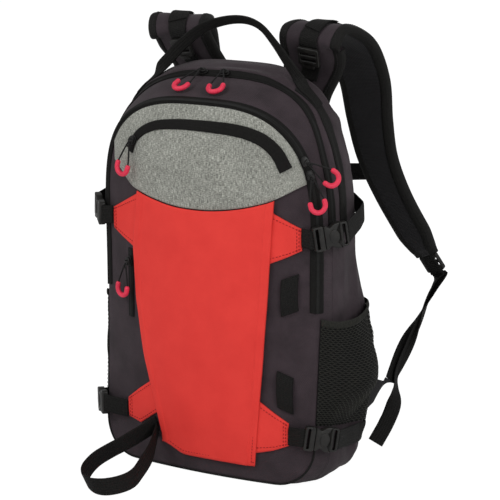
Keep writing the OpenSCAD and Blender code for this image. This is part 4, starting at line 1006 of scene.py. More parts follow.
def seamTape():
    # band along the shoulder's seam, domed across, running down behind the upper strap
    path = ringPath(seam, strapZ(upperStrap, seam) - web["width"] / 2)
    path = path[path[:, 0] > seamLook["fromX"]]
    mid, _, _, face = bandGrid(seam, path, seamLook["width"], seamLook["columns"])
    q = np.linspace(-1, 1, seamLook["columns"])
    dome = seamLook["edge"] + seamLook["rise"] * np.sqrt(np.maximum(1 - q ** 4, 0.02))
    part = slabPart(mid + face[:, None] * dome[None, :, None], mid + face[:, None] * 0.2)
    makePiece("seamTape", both(part), blackTape, nodes="seam_tape")


handle = dict(width=15, height=73, footX=106, footEnd=126, footIn=2, footLift=3.2, thick=1.8, full=1.4,
              gap=0.75, lean=0.9, twistFrom=8, twistRun=20, sewnBelow=16, freeAbove=6)
handleShape = np.array([[-1, 0], [-0.96, 0.08], [-0.83, 0.26], [-0.615, 0.55], [-0.345, 0.82], [-0.04, 0.97],
                        [0.23, 1], [0.44, 0.9], [0.615, 0.66], [0.79, 0.36], [0.95, 0.08], [1, 0]])


def archAt(k, x):  # point of a section's arch at a distance from the middle
    a, _, _, rise = sectionSize(k)
    z = archZ(x, a, rise)
    return np.array([x, float(depthY(k, x, z)), z])


def handlePath(y, z0):
    # smooth bow between two feet that lie along the seam, and how the feet lie across it
    shape = np.concatenate([handleShape, np.zeros((len(handleShape), 1))], 1)
    s = spline(shape, np.linspace(0, len(shape) - 1, 160))
    bow = np.stack([s[:, 0] * (handle["footX"] - handle["footIn"]), np.full(160, y),
                    z0 + s[:, 1] * handle["height"]], -1)
    foot = np.stack([archAt(seam, x) for x in np.linspace(handle["footEnd"], handle["footX"], 12)])
    across = unit(acrossTo(seam, seam - 1, foot) - acrossTo(seam, seam + 1, foot))
    face = unit(np.cross(tangents(foot), across))
    foot = foot + face * np.sign(face[:, 2:]) * handle["footLift"]
    path = resample(np.concatenate([foot * [-1, 1, 1], bow[9:-9], foot[::-1]]), 2.0)[0]
    # each point drawn halfway to the mean of its neighbours
    path = np.concatenate([path[:1], (path[:-2] + 2 * path[1:-1] + path[2:]) / 4, path[-1:]])
    return path, across.mean(0)


def grabHandle():
    # webbing carried along the bow, turning from flat on the seam to upright, and leaning forward in the middle
    y = archAt(seam, handle["footX"])[1]
    z0 = archAt(seam, handle["footX"] - handle["footIn"] - handle["width"] / 2)[2]
    z0 = z0 + handle["thick"] / 2 + handle["gap"]
    path, footAcross = handlePath(y, z0)
    t = tangents(path)
    place = np.arange(len(path))
    twist = np.minimum(place, place[-1] - place) - handle["twistFrom"]
    twist = ease(twist / handle["twistRun"])[:, None]
    upright = np.stack([-t[:, 2], 0 * t[:, 0], t[:, 0]], -1)
    upright = upright - np.array([0, handle["lean"], 0]) * np.sin(np.pi * place / place[-1])[:, None] ** 2
    sewn = footAcross * np.stack([np.sign(path[:, 0]), np.ones(len(path)), np.ones(len(path))], -1)
    across = unit(mix(sewn, upright, twist))
    part = webPart(path, across, np.cross(t, across), handle["width"], handle["thick"] * handle["full"],
                   lift=-handle["thick"] * handle["full"] / 2)
    makePiece("grabHandle", part, blackWebbing, body="handle", nodes="grab_handle",
              bend=((0, y, z0 - handle["sewnBelow"]), (0, y, z0 + handle["freeAbove"])))


seamTape()
grabHandle()
print("stage: seam tape and handle")


# shoulder straps: a padded section carried along the route, from its root over the top to its tip
strap = dict(width=84, end=48, taperFrom=5, taperRun=7, thick=14, endThick=0.45, endRun=0.35, edgeRound=0.5,
             faceRound=0.72, binding=11, bindingRise=1.1, lining=0.7, liningTurn=(1.06, 1.94), stitchAt=0.86,
             stitchRise=1.2, rootIn=22, rootRun=3.2, rootShare=0.76, tipShare=0.7, rows=190, soft=0.5,
             softSize=34)
strapRoute = np.array([[-76, 16.5, -96], [-76, 16.7, -78], [-74, 11.9, -40], [-71, 6, -10], [-69, -8, 13],
                       [-66, -19, 33], [-57, 0, 43], [-45, 38, 22], [-38, 67, -24], [-37, 83, -78],
                       [-32, 96, -128], [-18, 113, -178], [2, 131, -226], [18, 145, -260]], float)
strapPath = strapRoute + [pack["half"], backY(pack["height"]), pack["height"]]
strapN = len(strapPath) - 1


def pastRoot(u):  # 0 at the strap's root, 1 from where it is full
    return ease((u - 1) / strap["rootRun"])


def strapFrame(u):
    # point, tangent, level direction across and outward face at places counted in route points
    u = np.atleast_1d(np.asarray(u, float))
    p = spline(strapPath, u) - np.array([strap["rootIn"], 0, 0]) * (1 - pastRoot(u))[:, None]
    t = unit(spline(strapPath, np.minimum(u + 0.1, strapN)) - spline(strapPath, np.maximum(u - 0.1, 0)))
    across = unit(np.array([1.0, 0, 0]) - t * t[:, :1])
    return p, t, across, np.cross(across, t)


def strapWidth(u):  # narrowing towards the tip and at the root
    wide = mix(strap["width"], strap["end"], ease((u - strap["taperFrom"]) / strap["taperRun"]))
    return wide * mix(1, strap["tipShare"], ease(u - strapN + 1)) * mix(strap["rootShare"], 1, pastRoot(u))


def strapSkin(u, turn, lift=0.0):
    # section: a superellipse, nearly flat on its faces and round at its edges
    p, _, across, face = strapFrame(u)
    w = strapWidth(u)[:, None] / 2
    full = mix(strap["endThick"], 1, ease(np.minimum(u, strapN - u) / strap["endRun"]))
    h = strap["thick"] / 2 * np.minimum(1, full)[:, None]
    c, s = np.cos(turn), np.sin(turn)
    wide = np.sign(c) * np.abs(c) ** strap["edgeRound"] * (w + lift)
    tall = np.sign(s) * np.abs(s) ** strap["faceRound"] * (h + lift)
    soft = strap["soft"] * clothNoise(p, strap["softSize"], 4.4)[:, None] * np.abs(s)
    return p[:, None] + across[:, None] * wide[..., None] + face[:, None] * (tall - soft)[..., None]


def shoulderStrap(side, turned):
    # pad, lining on the wearer's side, bindings round both edges and a row of stitches along each
    rows = strap["rows"]
    u = np.linspace(0, strapN, rows)
    turn = np.broadcast_to(np.linspace(0, 2 * np.pi, 48, endpoint=False), (rows, 48))
    part = turned(gridPart(strapSkin(u, turn), closeV=True, caps=True))
    pad = makePiece("shoulderStrap" + side, part, strapCloth, nodes="shoulder_strap_" + side.lower())
    first, last = (np.pi * q for q in strap["liningTurn"])
    inside = np.broadcast_to(np.linspace(first, last, 25), (rows, 25))
    lining = turned(slabPart(strapSkin(u, inside, strap["lining"]), strapSkin(u, inside, 0.05)))
    makePiece("strapLining" + side, lining, padMesh)
    share = 1 - 2 * strap["binding"] / strapWidth(u)
    limit = np.arccos(np.clip(share, 0.2, 0.95) ** 2)[:, None]
    face = strapFrame(u)[3]
    edges, seams = [], []
    for middle, reach in ((0.0, strap["stitchAt"]), (np.pi, -strap["stitchAt"])):
        q = middle + np.linspace(-1, 1, 15)[None] * limit
        edges.append(turned(slabPart(strapSkin(u, q, strap["bindingRise"]), strapSkin(u, q, 0.1))))
        line = strapSkin(u, middle + reach * limit, strap["stitchRise"])[4:-4, 0]
        seams.append(turned(stitchPart(line, face[4:-4])))
    makePiece("strapBinding" + side, edges, blackTape)
    makePiece("strapStitches" + side, seams, blackThread)


def asMade(part):  # the right side needs no turning
    return part


shoulderStrap("Right", asMade)
shoulderStrap("Left", mirrored)


lock = dict(thick=5, bar=3.5, slot=4.4, tongue=4, gap=0.4)
lockLength = 5 * lock["bar"] + 2 * lock["slot"] - 0.8


def oblong(length, width, radius, count=8):
    # rounded rectangle, anticlockwise: a quarter circle at each corner
    a = np.linspace(0, np.pi / 2, count)
    quarter = np.stack([np.cos(a), np.sin(a)], -1) * radius
    out = []
    for k, (sx, sy) in enumerate(((1, 1), (-1, 1), (-1, -1), (1, -1))):
        c, s = np.cos(k * np.pi / 2), np.sin(k * np.pi / 2)
        centre = [sx * (length / 2 - radius), sy * (width / 2 - radius)]
        out.append(quarter @ np.array([[c, s], [-s, c]]) + centre)
    return np.concatenate(out)


def inset(outline, d):  # each point moved inwards, square to its neighbours
    t = unit(np.roll(outline, -1, 0) - np.roll(outline, 1, 0))
    return outline - np.stack([t[:, 1], -t[:, 0]], -1) * d


def shifted(outline, dx, dy=0.0):  # outline moved
    return outline + [dx, dy]


def bevelRows(outline, side, low, high, bevel):
    # outlines in quarter turns at the lower and upper edge: how far in, and how high
    a = np.linspace(0, np.pi / 2, 4)
    rise = [(bevel * (1 - np.sin(q)), low + bevel * (1 - np.cos(q))) for q in a]
    rise += [(bevel * (1 - np.cos(q)), high - bevel * (1 - np.sin(q))) for q in a]
    flat = [(inset(outline, side * d), np.full((len(outline), 1), h)) for d, h in rise]
    return np.stack([np.concatenate(pair, 1) for pair in flat])


def platePart(outline, low, high, bevel=0.8):
    # outline raised between two heights, its edges rounded off in steps
    return gridPart(bevelRows(outline, 1, low, high, bevel)[:, ::-1], closeV=True, caps=True)


def ringPlate(outer, inner, low, high, bevel=0.7):
    # flat ring between two outlines of equal count, with rounded edges: up the outer, down the inner
    grid = np.concatenate([bevelRows(outer, 1, low, high, bevel), bevelRows(inner, -1, low, high, bevel)[::-1]])
    return gridPart(grid[:, ::-1], closeU=True, closeV=True)


def ladderLock(width):
    # frame with a bar between two slots, and a tongue to lift it by
    half = lock["thick"] / 2
    frameOut = oblong(lockLength, width + 2 * lock["bar"], 3)
    frameIn = oblong(2 * lock["slot"] + lock["bar"], width, 1)
    bar = platePart(oblong(lock["bar"] + 1, width + 1, 0.8), -half * 0.4, half * 0.9, 0.7)
    tongue = platePart(shifted(oblong(2 * lock["tongue"], width * 0.7, 2), lockLength / 2), 0.2, half, 0.7)
    return [ringPlate(frameOut, frameIn, -half, half, 1.0), bar, tongue]


# first and last place on the strap, in route points, and lift off its pad
lifter = dict(runs=((14 / 3, 20 / 3, 0.9), (5.3, 6.2, 2.7), (8 / 3, 11 / 3, 0.9)), lock=14 / 3)


def lifterPart(first, last, lift):
    # webbing along the pad's outer face
    p, _, across, face = strapFrame(np.linspace(first, last, 40))
    return webPart(p + face * (strap["thick"] / 2 + lift), -across, face, web["width"], web["thick"])


runs = sum((both(lifterPart(*run)) for run in lifter["runs"]), [])
makePiece("lifterWebbing", runs, blackWebbing, nodes="lifter_webbing")
p, t, across, face = (v[0] for v in strapFrame(lifter["lock"]))
foot = p + face * (strap["thick"] / 2 + seat) - t * (lockLength / 2 + lock["gap"]) \
    + face * (lock["thick"] / 2 + 2 * lock["gap"])
parts = sum((both(placed(q, foot, -t, face)) for q in ladderLock(web["width"] - 4)), [])
makePiece("lifterLocks", parts, buckleAcetal, nodes="lifter_locks")

endP, endT, endAcross, endFace = (v[0] for v in strapFrame(strapN))
strapTip = endP + endT * (lockLength / 2 + lock["gap"])
adjust = dict(width=20, lead=5, finThick=3, finHalf=24, finRise=13, finOut=5, finBack=42, twist=65,
              mainTwist=62, beside=(2.6, 1.5, 0), shares=(0.15, 0.32, 0.5, 0.68))
parts = [placed(q, strapTip, endT, endFace) for q in ladderLock(adjust["width"] + 1)]
makePiece("strapLockRight", parts, buckleAcetal, nodes="strap_lock_right")
parts = [mirrored(q) for q in parts]
makePiece("strapLockLeft", parts, buckleAcetal, nodes="strap_lock_left")

finZ = strapZ(lowerStrap, corner) + web["width"] / 2 + adjust["finHalf"] + 2
finBase = sideRow(corner, np.array(finZ))
finTip = np.array([pack["half"] + adjust["finOut"], pack["depth"] - adjust["finBack"],
                   finZ + adjust["finRise"]])
finAlong = unit((finTip - finBase) * [1, 1, 0])
finFace = np.array([finAlong[1], -finAlong[0], 0])
loadStart = strapTip + endT * (lockLength / 2 + lock["gap"]) - endFace * (lock["thick"] / 2 - 0.2)
loadDir = unit(loadStart - finTip)
finEdge = unit(np.cross(loadDir, finFace))


def anchorFin():
    # cloth wedge from the lower corner: its half width narrows from root to tip in two straight stretches
    root = finBase + finAlong * 1.2 + finFace
    half = adjust["width"] / 2
    v = np.linspace(0, 1, 36)[:, None, None]
    s = np.linspace(-1, 1, 21)[None, :, None]
    up = np.array([0, 0, 1.0])
    wide, waist = up * adjust["finHalf"], up * mix(adjust["finHalf"], half, 0.6)
    edge = np.where(v < 0.5, mix(wide, waist, 2 * v), mix(waist, finEdge * half, 2 * v - 1))
    mid = mix(root, finTip, v) + edge * s
    thick = adjust["finThick"] * (0.55 + 0.45 * (1 - np.abs(s) ** 6))
    return slabPart(mid + finFace * thick, mid + finFace * (adjust["finThick"] - thick) * 0.5)


makePiece("anchorFins", both(anchorFin()), padMesh, nodes="anchor_fins")
# the tail's last points, after it has left the main run, and the way its end faces
tailEnd = np.array([[171, 140, 106], [170, 137, 84], [169, 134, 62], [165, 121, 40], [159, 104, 19]], float)
tailFace = np.array([0.49, -0.84, 0.22])


def squareTo(t, a):  # a without its part along t
    return unit(a - t * np.sum(a * t, -1, keepdims=True))


def turnedAbout(t, a, turn):  # a, square to t, turned round it
    return a * np.cos(turn) + np.cross(t, a) * np.sin(turn)


def flatWeb(path, across, width):  # webbing with its middle on the path
    face = np.cross(tangents(path), across)
    return webPart(path, across, face, width, web["thick"], lift=-web["thick"] / 2)


def mainRun(leave, finish):
    # straight from the lock to the fin, twisted most in its upper half
    s = np.linspace(0, 1, 45)[:, None]
    path = np.concatenate([[loadStart], mix(leave, finish, s)])
    t = tangents(path)
    s = np.concatenate([[[0.0]], s])
    a = squareTo(t, mix(endAcross, finEdge, ease(s)))
    across = turnedAbout(t, a, np.radians(adjust["mainTwist"]) * np.sin(np.pi * s ** 0.6))
    return flatWeb(path, across, adjust["width"])


def tailRun(leave, finish):
    # smooth curve beside the main run, turned edge-on, then flat towards the front; its end is folded over
    start = strapTip + endT * (lockLength / 2 + lock["tongue"] + lock["gap"]) \
        + endFace * (lock["thick"] / 2 - 0.5)
    beside = mix(leave, finish, np.array(adjust["shares"])[:, None]) + adjust["beside"]
    rough = np.concatenate([[start], [start + endT * adjust["lead"]], beside, tailEnd])
    u = np.linspace(0, len(rough) - 1, 110)
    path = spline(rough, u)
    t = tangents(path)
    a = squareTo(t, np.broadcast_to(endAcross, t.shape))
    edgeOn = turnedAbout(t, a, np.radians(adjust["twist"]) * ease((u - 1) / 3)[:, None])
    broad = unit(np.cross(tailFace, t))
    broad = broad * np.sign(np.sum(broad * edgeOn, -1, keepdims=True))[80]
    across = squareTo(t, mix(edgeOn, broad, ease((u - 6.5) / 2)[:, None]))
    end = slice(-14, None)
    fold = webPart(path[end], across[end], np.cross(t, across)[end], adjust["width"], web["thick"],
                   lift=web["thick"] / 2)
    return [flatWeb(path, across, adjust["width"]), fold]


def loadWebbing():
    # main run, tail, its fold, and the short run laced through the lock
    finish = finTip + loadDir * seat + finFace * adjust["finThick"] / 2
    leave = loadStart + endT * adjust["lead"]
    through = np.stack([endP - endT * 4, strapTip - endT * 6, strapTip, strapTip + endT * 6,
                        loadStart + endT * 2])
    through = through - endFace * np.array([1.0, 1.5, 1.2, 1.5, 1.0])[:, None]
    laced = webPart(through, -endAcross, -endFace, adjust["width"] - 1, web["thick"])
    return [mainRun(leave, finish), *tailRun(leave, finish), laced]


parts = loadWebbing()
makePiece("loadWebbingRight", parts, blackWebbing, nodes="load_webbing_right")
parts = [mirrored(q) for q in parts]
makePiece("loadWebbingLeft", parts, blackWebbing, nodes="load_webbing_left")
print("stage: shoulder straps")


# side-release buckles: X from the mouth to the back of the female half, Z outwards
buckle = dict(length=30, thick=9, wall=3.2, waist=4.4, waistAt=0.24, waistRun=0.15, taper=1.2, taperAt=0.86,
              taperRun=0.14, lip=2.2, shellEnd=8.2, thumb=6.2, thumbAt=0.4, thumbWide=0.27, bar=11, prong=18,
              prongWide=4, prongThick=4, base=13, mouth=0.5, slot=3.4, turn=47, slope=190, stand=1.8)
buckleWidth = web["width"] + 2 * buckle["wall"]


def webSlot(width, x):  # outline of the slot that the webbing goes through
    return shifted(oblong(buckle["slot"], width - 2 * buckle["wall"], 1), x)


def femaleParts(width, length, thick):
    # shell with a waist on both sides, a bell curve deep; an oval thumb rest, and a bar for the webbing
    x = np.linspace(0, length, 40)
    waist = (x - buckle["waistAt"] * length) / (buckle["waistRun"] * length)
    taper = ease((x - buckle["taperAt"] * length) / (buckle["taperRun"] * length))
    half = width / 2 - buckle["waist"] * np.exp(-waist ** 2) - buckle["taper"] * taper
    half = half - buckle["lip"] * np.maximum(1 - x / buckle["lip"], 0) ** 2
    outline = np.concatenate([np.stack([x, -half], -1), np.stack([x[::-1], half[::-1]], -1)])
    shell = platePart(outline[outline[:, 0] <= length - buckle["shellEnd"]], 0.2, thick - 0.3, 1.3)
    turn = np.linspace(0, 2 * np.pi, 36, endpoint=False)
    oval = np.stack([buckle["thumbAt"] * length + buckle["thumb"] * np.cos(turn),
                     width * buckle["thumbWide"] * np.sin(turn)], -1)
    thumb = platePart(oval, thick - 0.8, thick + 0.7, 0.7)
    outer = shifted(oblong(buckle["bar"], width - 1.5, 3), length - buckle["bar"] / 2)
    return [shell, thumb, ringPlate(outer, webSlot(width, length - 4.6), 0.6, thick - 1.2, 0.9)]


def maleParts(width, thick):
    # webbing bar with a slot, two outer prongs and a guide between them
    base, gap, prong = buckle["base"], buckle["mouth"], buckle["prong"]
    outer = shifted(oblong(base, width - 1, 3), -gap - base / 2)
    bar = ringPlate(outer, webSlot(width, -gap - base + 3 + buckle["slot"] / 2), 0.5, thick - 0.5, 1.0)
    wide = buckle["prongWide"]
    reach = (width - 2 * buckle["wall"] - wide) / 2 - 2
    low, high = (thick - buckle["prongThick"]) / 2, (thick + buckle["prongThick"]) / 2
    arm = oblong(prong + 2, wide, 1.8)
    arms = [platePart(shifted(arm, prong / 2 - gap - 1, s * reach), low, high, 0.8) for s in (-1, 1)]
    guide = platePart(shifted(oblong(prong - 3, wide, 1.5), prong / 2 - 2.5), low, high, 0.8)
    return [bar, *arms, guide]


def buckleFrame(strapPair):
    # mouth, way along the strap and outward face, on the front edge of the right side
    turn = np.radians(buckle["turn"])
    along = unit(np.array([np.cos(turn), np.sin(turn), (strapPair[1] - strapPair[0]) / buckle["slope"]]))
    face = unit(np.array([along[1], -along[0], 0]))
    edge = sideRow(frontLine, np.array(strapPair[0], float))
    return edge + face * (2 * seat + buckle["stand"]) - along * strapPair[2], along, face


def tabPart(strapPair, tipX):
    # short webbing from the male half's bar to its seam on the wing, and its two ends
    p, along, face = buckleFrame(strapPair)
    rear = p - along * (buckle["mouth"] + buckle["base"] + lock["gap"]) + face * buckle["thick"] / 2
    sewn = frontPoint(tipX + 1, strapPair[0], panelLift + web["thick"] / 2)
    middle = mix(rear, sewn, 0.55) + face * 0.6
    rough = np.stack([rear + along * 2, rear - along * 1.5, middle, sewn + [2, 0, 0], sewn])
    path = spline(rough, np.linspace(0, 4, 40))
    up = np.concatenate([np.linspace(1, 0, 14), np.zeros(26)])[:, None]
    across = squareTo(tangents(path), mix(np.array([0, 0, 1.0]), np.cross(face, along), up))
    return flatWeb(path, -across, web["width"] - 2), (sewn, rear)


# stand-off from the side, at places counted in sections from front to back
sideRun = dict(first=2.6, last=0.1, places=[-2.6, -2.3, -2, -1.5, -1, -0.5, -0.1],
               stand=[15, 12.5, 10, 5, 1, 0, 0])


def compressionPart(strapPair, share):
    # webbing from the buckle's bar to the back corner, lying on the side's cloth with a stand-off that dies out
    p, along, face = buckleFrame(strapPair)
    start = p + along * (buckle["length"] + lock["gap"]) + face * buckle["thick"] / 2
    cols = np.linspace(-0.5, 0.5, webSection["points"])[None] * web["width"]
    k = np.linspace(sideRun["first"], sideRun["last"], 60)[:, None] + 0 * cols
    stand = np.interp(-k, sideRun["places"], sideRun["stand"]) * share
    z = strapZ(strapPair, k) + cols
    edge = np.sqrt(np.maximum(1 - np.abs(cols / web["width"] * 2) ** webSection["square"], webSection["thin"]))
    base, normal = sideMid(k, z), sideNormal(k, z)
    mid = base + normal * (clearOf(gussetLift(k, base), stand) + seat + web["thick"] / 2)[..., None]
    head = start + np.cross(face, along) * cols[0][:, None]
    s = np.linspace(0, 1, 9)[:-1, None, None]
    lead, leadN = mix(head[None], mid[:1], s), unit(mix(np.broadcast_to(face, mid[:1].shape), normal[:1], s))
    mid, normal = np.concatenate([lead, mid]), np.concatenate([leadN, normal])
    half = normal * (edge[..., None] * web["thick"] / 2)
    return slabPart(mid + half, mid - half)


def atBuckle(parts, strapPair):  # parts set in a strap's buckle frame
    return [placed(q, *buckleFrame(strapPair)) for q in parts]


female = femaleParts(buckleWidth, buckle["length"], buckle["thick"])
females = sum((both(q) for pair in (upperStrap, lowerStrap) for q in atBuckle(female, pair)), [])
makePiece("buckleFemales", females, buckleAcetal, nodes="buckle_females")
straps = both(compressionPart(upperStrap, 1.0)) + both(compressionPart(lowerStrap, 0.5))
makePiece("compressionStraps", straps, blackWebbing, nodes="compression_straps")
male = maleParts(buckleWidth, buckle["thick"])
for level, pair, tips in (("upper", upperStrap, (134, 134)), ("lower", lowerStrap, (110, 120))):
    for side, turned, sign, tip in zip(("left", "right"), (mirrored, asMade), (-1, 1), tips):
        body = f"buckle_{level}_{side}"
        tag = level.capitalize() + side.capitalize()
        makePiece("buckleMale" + tag, [turned(q) for q in atBuckle(male, pair)], buckleAcetal, body=body,
                  nodes=f"buckle_male_{level}_{side}")
        tab, ends = tabPart(pair, tip)
        makePiece("buckleTab" + tag, turned(tab), blackWebbing, body=body, nodes=f"buckle_tab_{level}_{side}",
                  bend=np.array(ends) * [sign, 1, 1])
print("stage: buckles and compression straps")


# chest strap, its buckle across the middle
sternum = dict(u=10.4, width=24, length=24, thick=8, sewn=26, sag=7, lead=5)
p, t, across, face = (v[0] for v in strapFrame(sternum["u"]))
sternumRoot = p + face * (strap["thick"] / 2 + 1.5 * seat + web["thick"] / 2)
sternumEdge = sternumRoot - across * (float(strapWidth(np.array(sternum["u"]))) / 2 + 4)
sternumY, sternumZ = sternumEdge[1], sternumEdge[2] - sternum["sag"]


def sternumHalf(reach):
    # webbing sewn along the strap, then straight to the buckle, turning upright on the way
    finish = np.array([reach, sternumY, sternumZ])
    lead = finish + [sternum["lead"], 0, 0]
    rough = np.stack([sternumEdge + across * sternum["sewn"], sternumEdge,
                      mix(sternumEdge, lead, 0.5) - [0, 0, 1], lead, finish])
    s = np.linspace(0, 1, 10, endpoint=False)[:, None]
    path = np.concatenate([mix(rough[i], rough[i + 1], s) for i in range(4)] + [rough[-1:]])
    up = mix(-t, np.array([0, 0, 1.0]), ease((np.arange(len(path)) - 10) / 20)[:, None])
    return flatWeb(path, squareTo(tangents(path), up), sternum["width"])


sternumBox = sternum["width"] + 2 * buckle["wall"]
sternumSpot = (np.array([-sternum["length"] / 2, sternumY + sternum["thick"] / 2, sternumZ]),
               np.array([1.0, 0, 0]), np.array([0, -1.0, 0]))
parts = [placed(q, *sternumSpot) for q in femaleParts(sternumBox, sternum["length"], sternum["thick"])]
makePiece("sternumFemale", parts, buckleAcetal, nodes="sternum_female")
parts = [placed(q, *sternumSpot) for q in maleParts(sternumBox, sternum["thick"])]
makePiece("sternumMale", parts, buckleAcetal, body="sternum_half", nodes="sternum_male")
part = sternumHalf(sternum["length"] / 2 + lock["gap"])
makePiece("sternumStrapRight", part, blackWebbing, nodes="sternum_strap_right")
part = mirrored(sternumHalf(sternum["length"] / 2 + buckle["mouth"] + buckle["base"] + lock["gap"]))
makePiece("sternumStrapLeft", part, blackWebbing, body="sternum_half", nodes="sternum_strap_left",
          bend=(sternumEdge * [-1, 1, 1], (-sternum["length"], sternumY, sternumZ)))
print("stage: sternum strap")


# ski loop: route before the front's middle
ski = dict(width=22, sewn=(0, -0.07, 1.0), leanX=-0.25, leanY=-0.55, leanTurn=0.6)
skiRoute = np.array([[-62, 10.8, 57], [-66, 6, 55], [-74, -10, 48], [-84, -33, 40], [-98, -46, 31],
                     [-108, -60, 23], [-110, -76, 16], [-103, -94, 13], [-90, -110, 12], [-74, -118, 12],
                     [-58, -114, 12], [-46, -98, 13], [-42, -78, 15], [-46, -54, 20], [-50, -28, 30],
                     [-56, -8, 41], [-62, 8.8, 49]], float)


def skiLoop():
    # webbing on edge along a smooth loop, upright where it is sewn and leaning where it is free
    rough = skiRoute - [0, pack["reach"], 0]
    n = len(rough) - 1
    u = np.linspace(0, n, 200)
    path = spline(rough, u)
    leanY = ski["leanY"] + ski["leanTurn"] * ease(2 * u / n - 0.6)
    free = np.stack([np.full(200, ski["leanX"]), leanY, np.ones(200)], -1)
    lean = unit(mix(np.array(ski["sewn"]), free, ease(np.minimum(u, n - u) / 3)[:, None]))
    part = flatWeb(path, squareTo(tangents(path), lean), ski["width"])
    makePiece("skiLoop", part, blackWebbing, nodes="ski_loop")


skiLoop()

# back: padded panel with an air channel
backPad = dict(thick=13, edge=4, share=0.3, round=25, channel=34, channelRound=14, foot=30, top=474, rim=8,
               rimSteep=5, inside=4.5, seams=(175, 320), seamWidth=5, seamDepth=0.45, soft=0.8, softSize=40)


def backPanel():
    # foam swelling from its rim, lower in the middle channel and along two cross seams
    v, u = np.linspace(0, 1, 120)[:, None], np.linspace(-1, 1, 90)[None]
    z = mix(backPad["foot"], backPad["top"], v) + 0 * u
    x = (sectionX(back, np.minimum(z, backPad["top"])) - backPad["rim"]) * u
    rim = ease((1 - np.abs(u)) * backPad["rimSteep"])
    ends = ease((z - backPad["foot"]) / backPad["round"]) * ease((backPad["top"] - z) / backPad["round"])
    groove = ease((np.abs(x) - backPad["channel"] / 2) / backPad["channelRound"])
    dents = sum(np.exp(-((z - seamZ) / backPad["seamWidth"]) ** 2) for seamZ in backPad["seams"])
    foam = rim * ends * mix(backPad["share"], 1, groove) * (1 - backPad["seamDepth"] * dents * groove)
    soft = backPad["soft"] * clothNoise(flatPoint(x, z), backPad["softSize"], 8.8) * rim * ends
    swell = backPad["edge"] + (backPad["thick"] - backPad["edge"]) * foam + soft * groove
    y = backY(z) - backPad["thick"]
    part = slabPart(np.stack([x, y + swell, z], -1), np.stack([x, y - backPad["inside"], z], -1))
    piece = makePiece("backPanel", part, padMesh, nodes="back_panel")


backPanel()
# the stiff sheet behind the padding stays as its CAD node
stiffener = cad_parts["frame_sheet"]
stiffener.data.materials.clear()
stiffener.data.materials.append(sheetPlastic)
print("stage: ski loop and back")


# zip sliders, cords and grips
slider = dict(length=12, width=8.8, plate=1.6, thick=4.6, taper=0.22, post=(4.4, 3.6, 1.7), coil=1.8,
              coilGap=0.4, bailR=0.9, bailRise=2.4, bailW=7.2, bailIn=0.4, cordR=1.0, cordGap=0.3, leg=5,
              gripR=12, gripD=6.2, pull=36, knot=1.5, knotAt=5.5, knotEnd=0.3)
sliderLift = seat + slider["coil"] + slider["coilGap"]
bailLift = sliderLift + slider["thick"] + slider["bailRise"]
gripArc = slider["gripR"] - slider["gripD"] / 2


def frameOf(p, along, face, hang):
    # a slider's place: point, way along the zip, face square to it, and the way its pull hangs on that face
    f = unit(face - along * np.dot(along, face))
    return p, along, f, unit(hang - f * np.dot(f, hang))


def bandAcross(k, p):  # way across a section's band, towards the front
    p = p[None]
    fore = frontInward(p) if k == frontLine else acrossTo(k, k + 1, p)
    return unit(fore - acrossTo(k, k - 1, p))[0]


def mainFrame(x, sweep):  # on the main zip's arch, at a distance from the middle
    p = archAt(mainLine, x)
    along = unit(archAt(mainLine, x + 2) - archAt(mainLine, x - 2))
    down = bandAcross(mainLine, p)
    return frameOf(p, along, np.cross(down, along), down + along * sweep)


def frontFrame(z, sweep):  # on the front zip's right side, at a height
    p = sideRow(frontLine, np.array(z, float))
    along = unit(sideRow(frontLine, np.array(z + 2.0)) - sideRow(frontLine, np.array(z - 2.0)))
    across = bandAcross(frontLine, p)
    return frameOf(p, along, np.cross(along, across), -along - across * sweep)


def faceOf(surface, x, z):  # outward direction of a surface given as depth over across and up
    slope = surface(x + 1, z) - surface(x - 1, z), surface(x, z + 1) - surface(x, z - 1)
    return unit(np.array([slope[0], -2, slope[1]]))


def solidGoggle(x, z):  # the pocket as the solids have it, without the cloth's wrinkles
    swell = (goggle["depth"] - goggle["cloth"]) * goggleSwell(x, z, goggle["half"])
    return frontY(x, z) - seat - goggle["cloth"] - swell


def goggleFrame():  # at the second point of the goggle zip's plain route
    x, z = goggleRoute[:, 0] * goggle["half"], pack["height"] + goggleRoute[:, 1]
    route = np.stack([x, solidGoggle(x, z), z], -1)
    return frameOf(route[1], tangents(route)[1], faceOf(solidGoggle, x[1], z[1]), np.array([-0.3, 0, -1.0]))


def stashFrame():  # near the top of the side zip
    x, z = stash["x"], stash["slider"]
    p = np.array([x, frontY(x, z), z])
    return frameOf(p, np.array([0, 0, 1.0]), faceOf(frontY, x, z), np.array([-0.2, 0, -1.0]))


def sliderParts(f):
    # lower and upper plate on a bridge, tapered towards the tail, and a wire bail
    p, along, face, hang = f
    body = (p + face * sliderLift, along, face)
    x = np.linspace(-1, 1, 15)
    half = slider["width"] / 2 * (1 - slider["taper"] * ease(x)) * np.sqrt(np.maximum(1 - np.abs(x) ** 7, 0.25))
    x = x * slider["length"] / 2
    shape = np.concatenate([np.stack([x, -half], -1), np.stack([x[::-1], half[::-1]], -1)])
    high = slider["thick"] - slider["plate"]
    lower = platePart(shape, 0, slider["plate"], 0.5)
    upper = platePart(shape * 0.9, high, slider["thick"], 0.5)
    post = platePart(oblong(*slider["post"]), slider["plate"] - 0.3, high + 0.3, 0.2)
    turn = np.linspace(0, np.pi, 24)
    wire = np.stack([np.zeros(24), -np.cos(turn) * (slider["bailW"] / 2 - slider["bailR"]),
                     np.sin(turn) ** 0.6 * (slider["bailRise"] + slider["bailIn"])], -1)
    wire = tubePart(wire, slider["bailR"], 8, ref=(1, 0, 0))
    bail = (p + face * (sliderLift + slider["thick"] - slider["bailIn"]), hang, face)
    return [placed(q, *body) for q in (lower, upper, post)] + [placed(wire, *bail)]


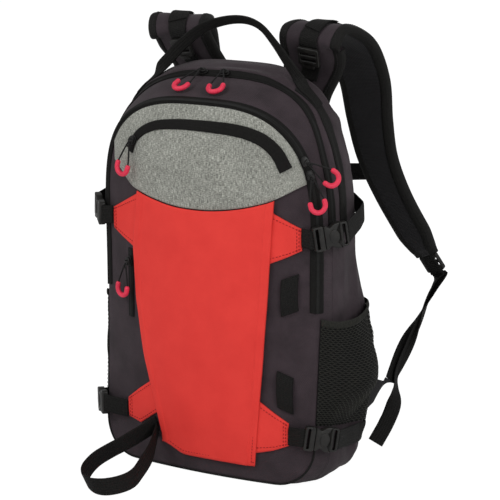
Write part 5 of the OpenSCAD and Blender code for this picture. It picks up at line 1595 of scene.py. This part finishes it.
def cordParts(f):
    # thin cord doubled through the bail, its two legs leaning out to the ends of the grip, and a knot
    p, _, face, hang = f
    start = slider["bailR"] + slider["cordR"] + slider["cordGap"]
    reach = slider["pull"] - slider["leg"] - 0.2
    s = np.linspace(0, 1, 30)[:, None]
    side = np.array([[start, 0, 0]]) + np.concatenate([s * (reach - start), gripArc * s ** 0.85, 0 * s], 1)
    loop = np.concatenate([side[::-1] * [1, -1, 1], side[1:]])
    q = np.linspace(-1, 1, 9)
    knot = np.stack([start + slider["knotAt"] + slider["knot"] * q, 0 * q, 0 * q], -1)
    ball = slider["knotEnd"] + slider["knot"] * np.sqrt(np.maximum(1 - q ** 2, 0))
    spot = (p + face * bailLift, hang, face)
    return [placed(tubePart(loop, slider["cordR"], 8), *spot), placed(tubePart(knot, ball, 10), *spot)]


def gripParts(f):
    # moulded U: a half turn with two short legs, rounded at their ends
    p, _, face, hang = f
    a = np.linspace(-np.pi / 2, np.pi / 2, 41)
    bend = np.stack([slider["pull"] + gripArc * np.cos(a), gripArc * np.sin(a), 0 * a], -1)
    leg = np.linspace(-slider["leg"], 0, 6)[:-1, None]
    low = np.concatenate([slider["pull"] + leg, np.full_like(leg, -gripArc), 0 * leg], 1)
    path = np.concatenate([low, bend, (low * [1, -1, 1])[::-1]])
    path, size = roundEnds(path[2:-2], slider["gripD"] / 2)
    return placed(tubePart(path, size, 16), p + face * bailLift, hang, face)


pulls = dict(main_left=mainFrame(-27, -0.35), main_right=mainFrame(4, 0.2), front_upper=frontFrame(408, 0.55),
             front_lower=frontFrame(392, -0.1), goggle=goggleFrame(), stash=stashFrame())
for key, f in pulls.items():
    words = key.split("_")
    tag = "".join(w.capitalize() for w in words)
    kinds = ("slider", "cord", "grip")
    sliderNode, cordNode, gripNode = ("_".join([words[0], kind, *words[1:]]) for kind in kinds)
    makePiece("slider" + tag, sliderParts(f), sliderPaint, body=key + "_slider", nodes=sliderNode)
    makePiece("cord" + tag, cordParts(f), cordNylon, body=key + "_pull", nodes=cordNode)
    makePiece("grip" + tag, gripParts(f), gripRubber, body=key + "_pull", nodes=gripNode)
print("stage: zip pulls")
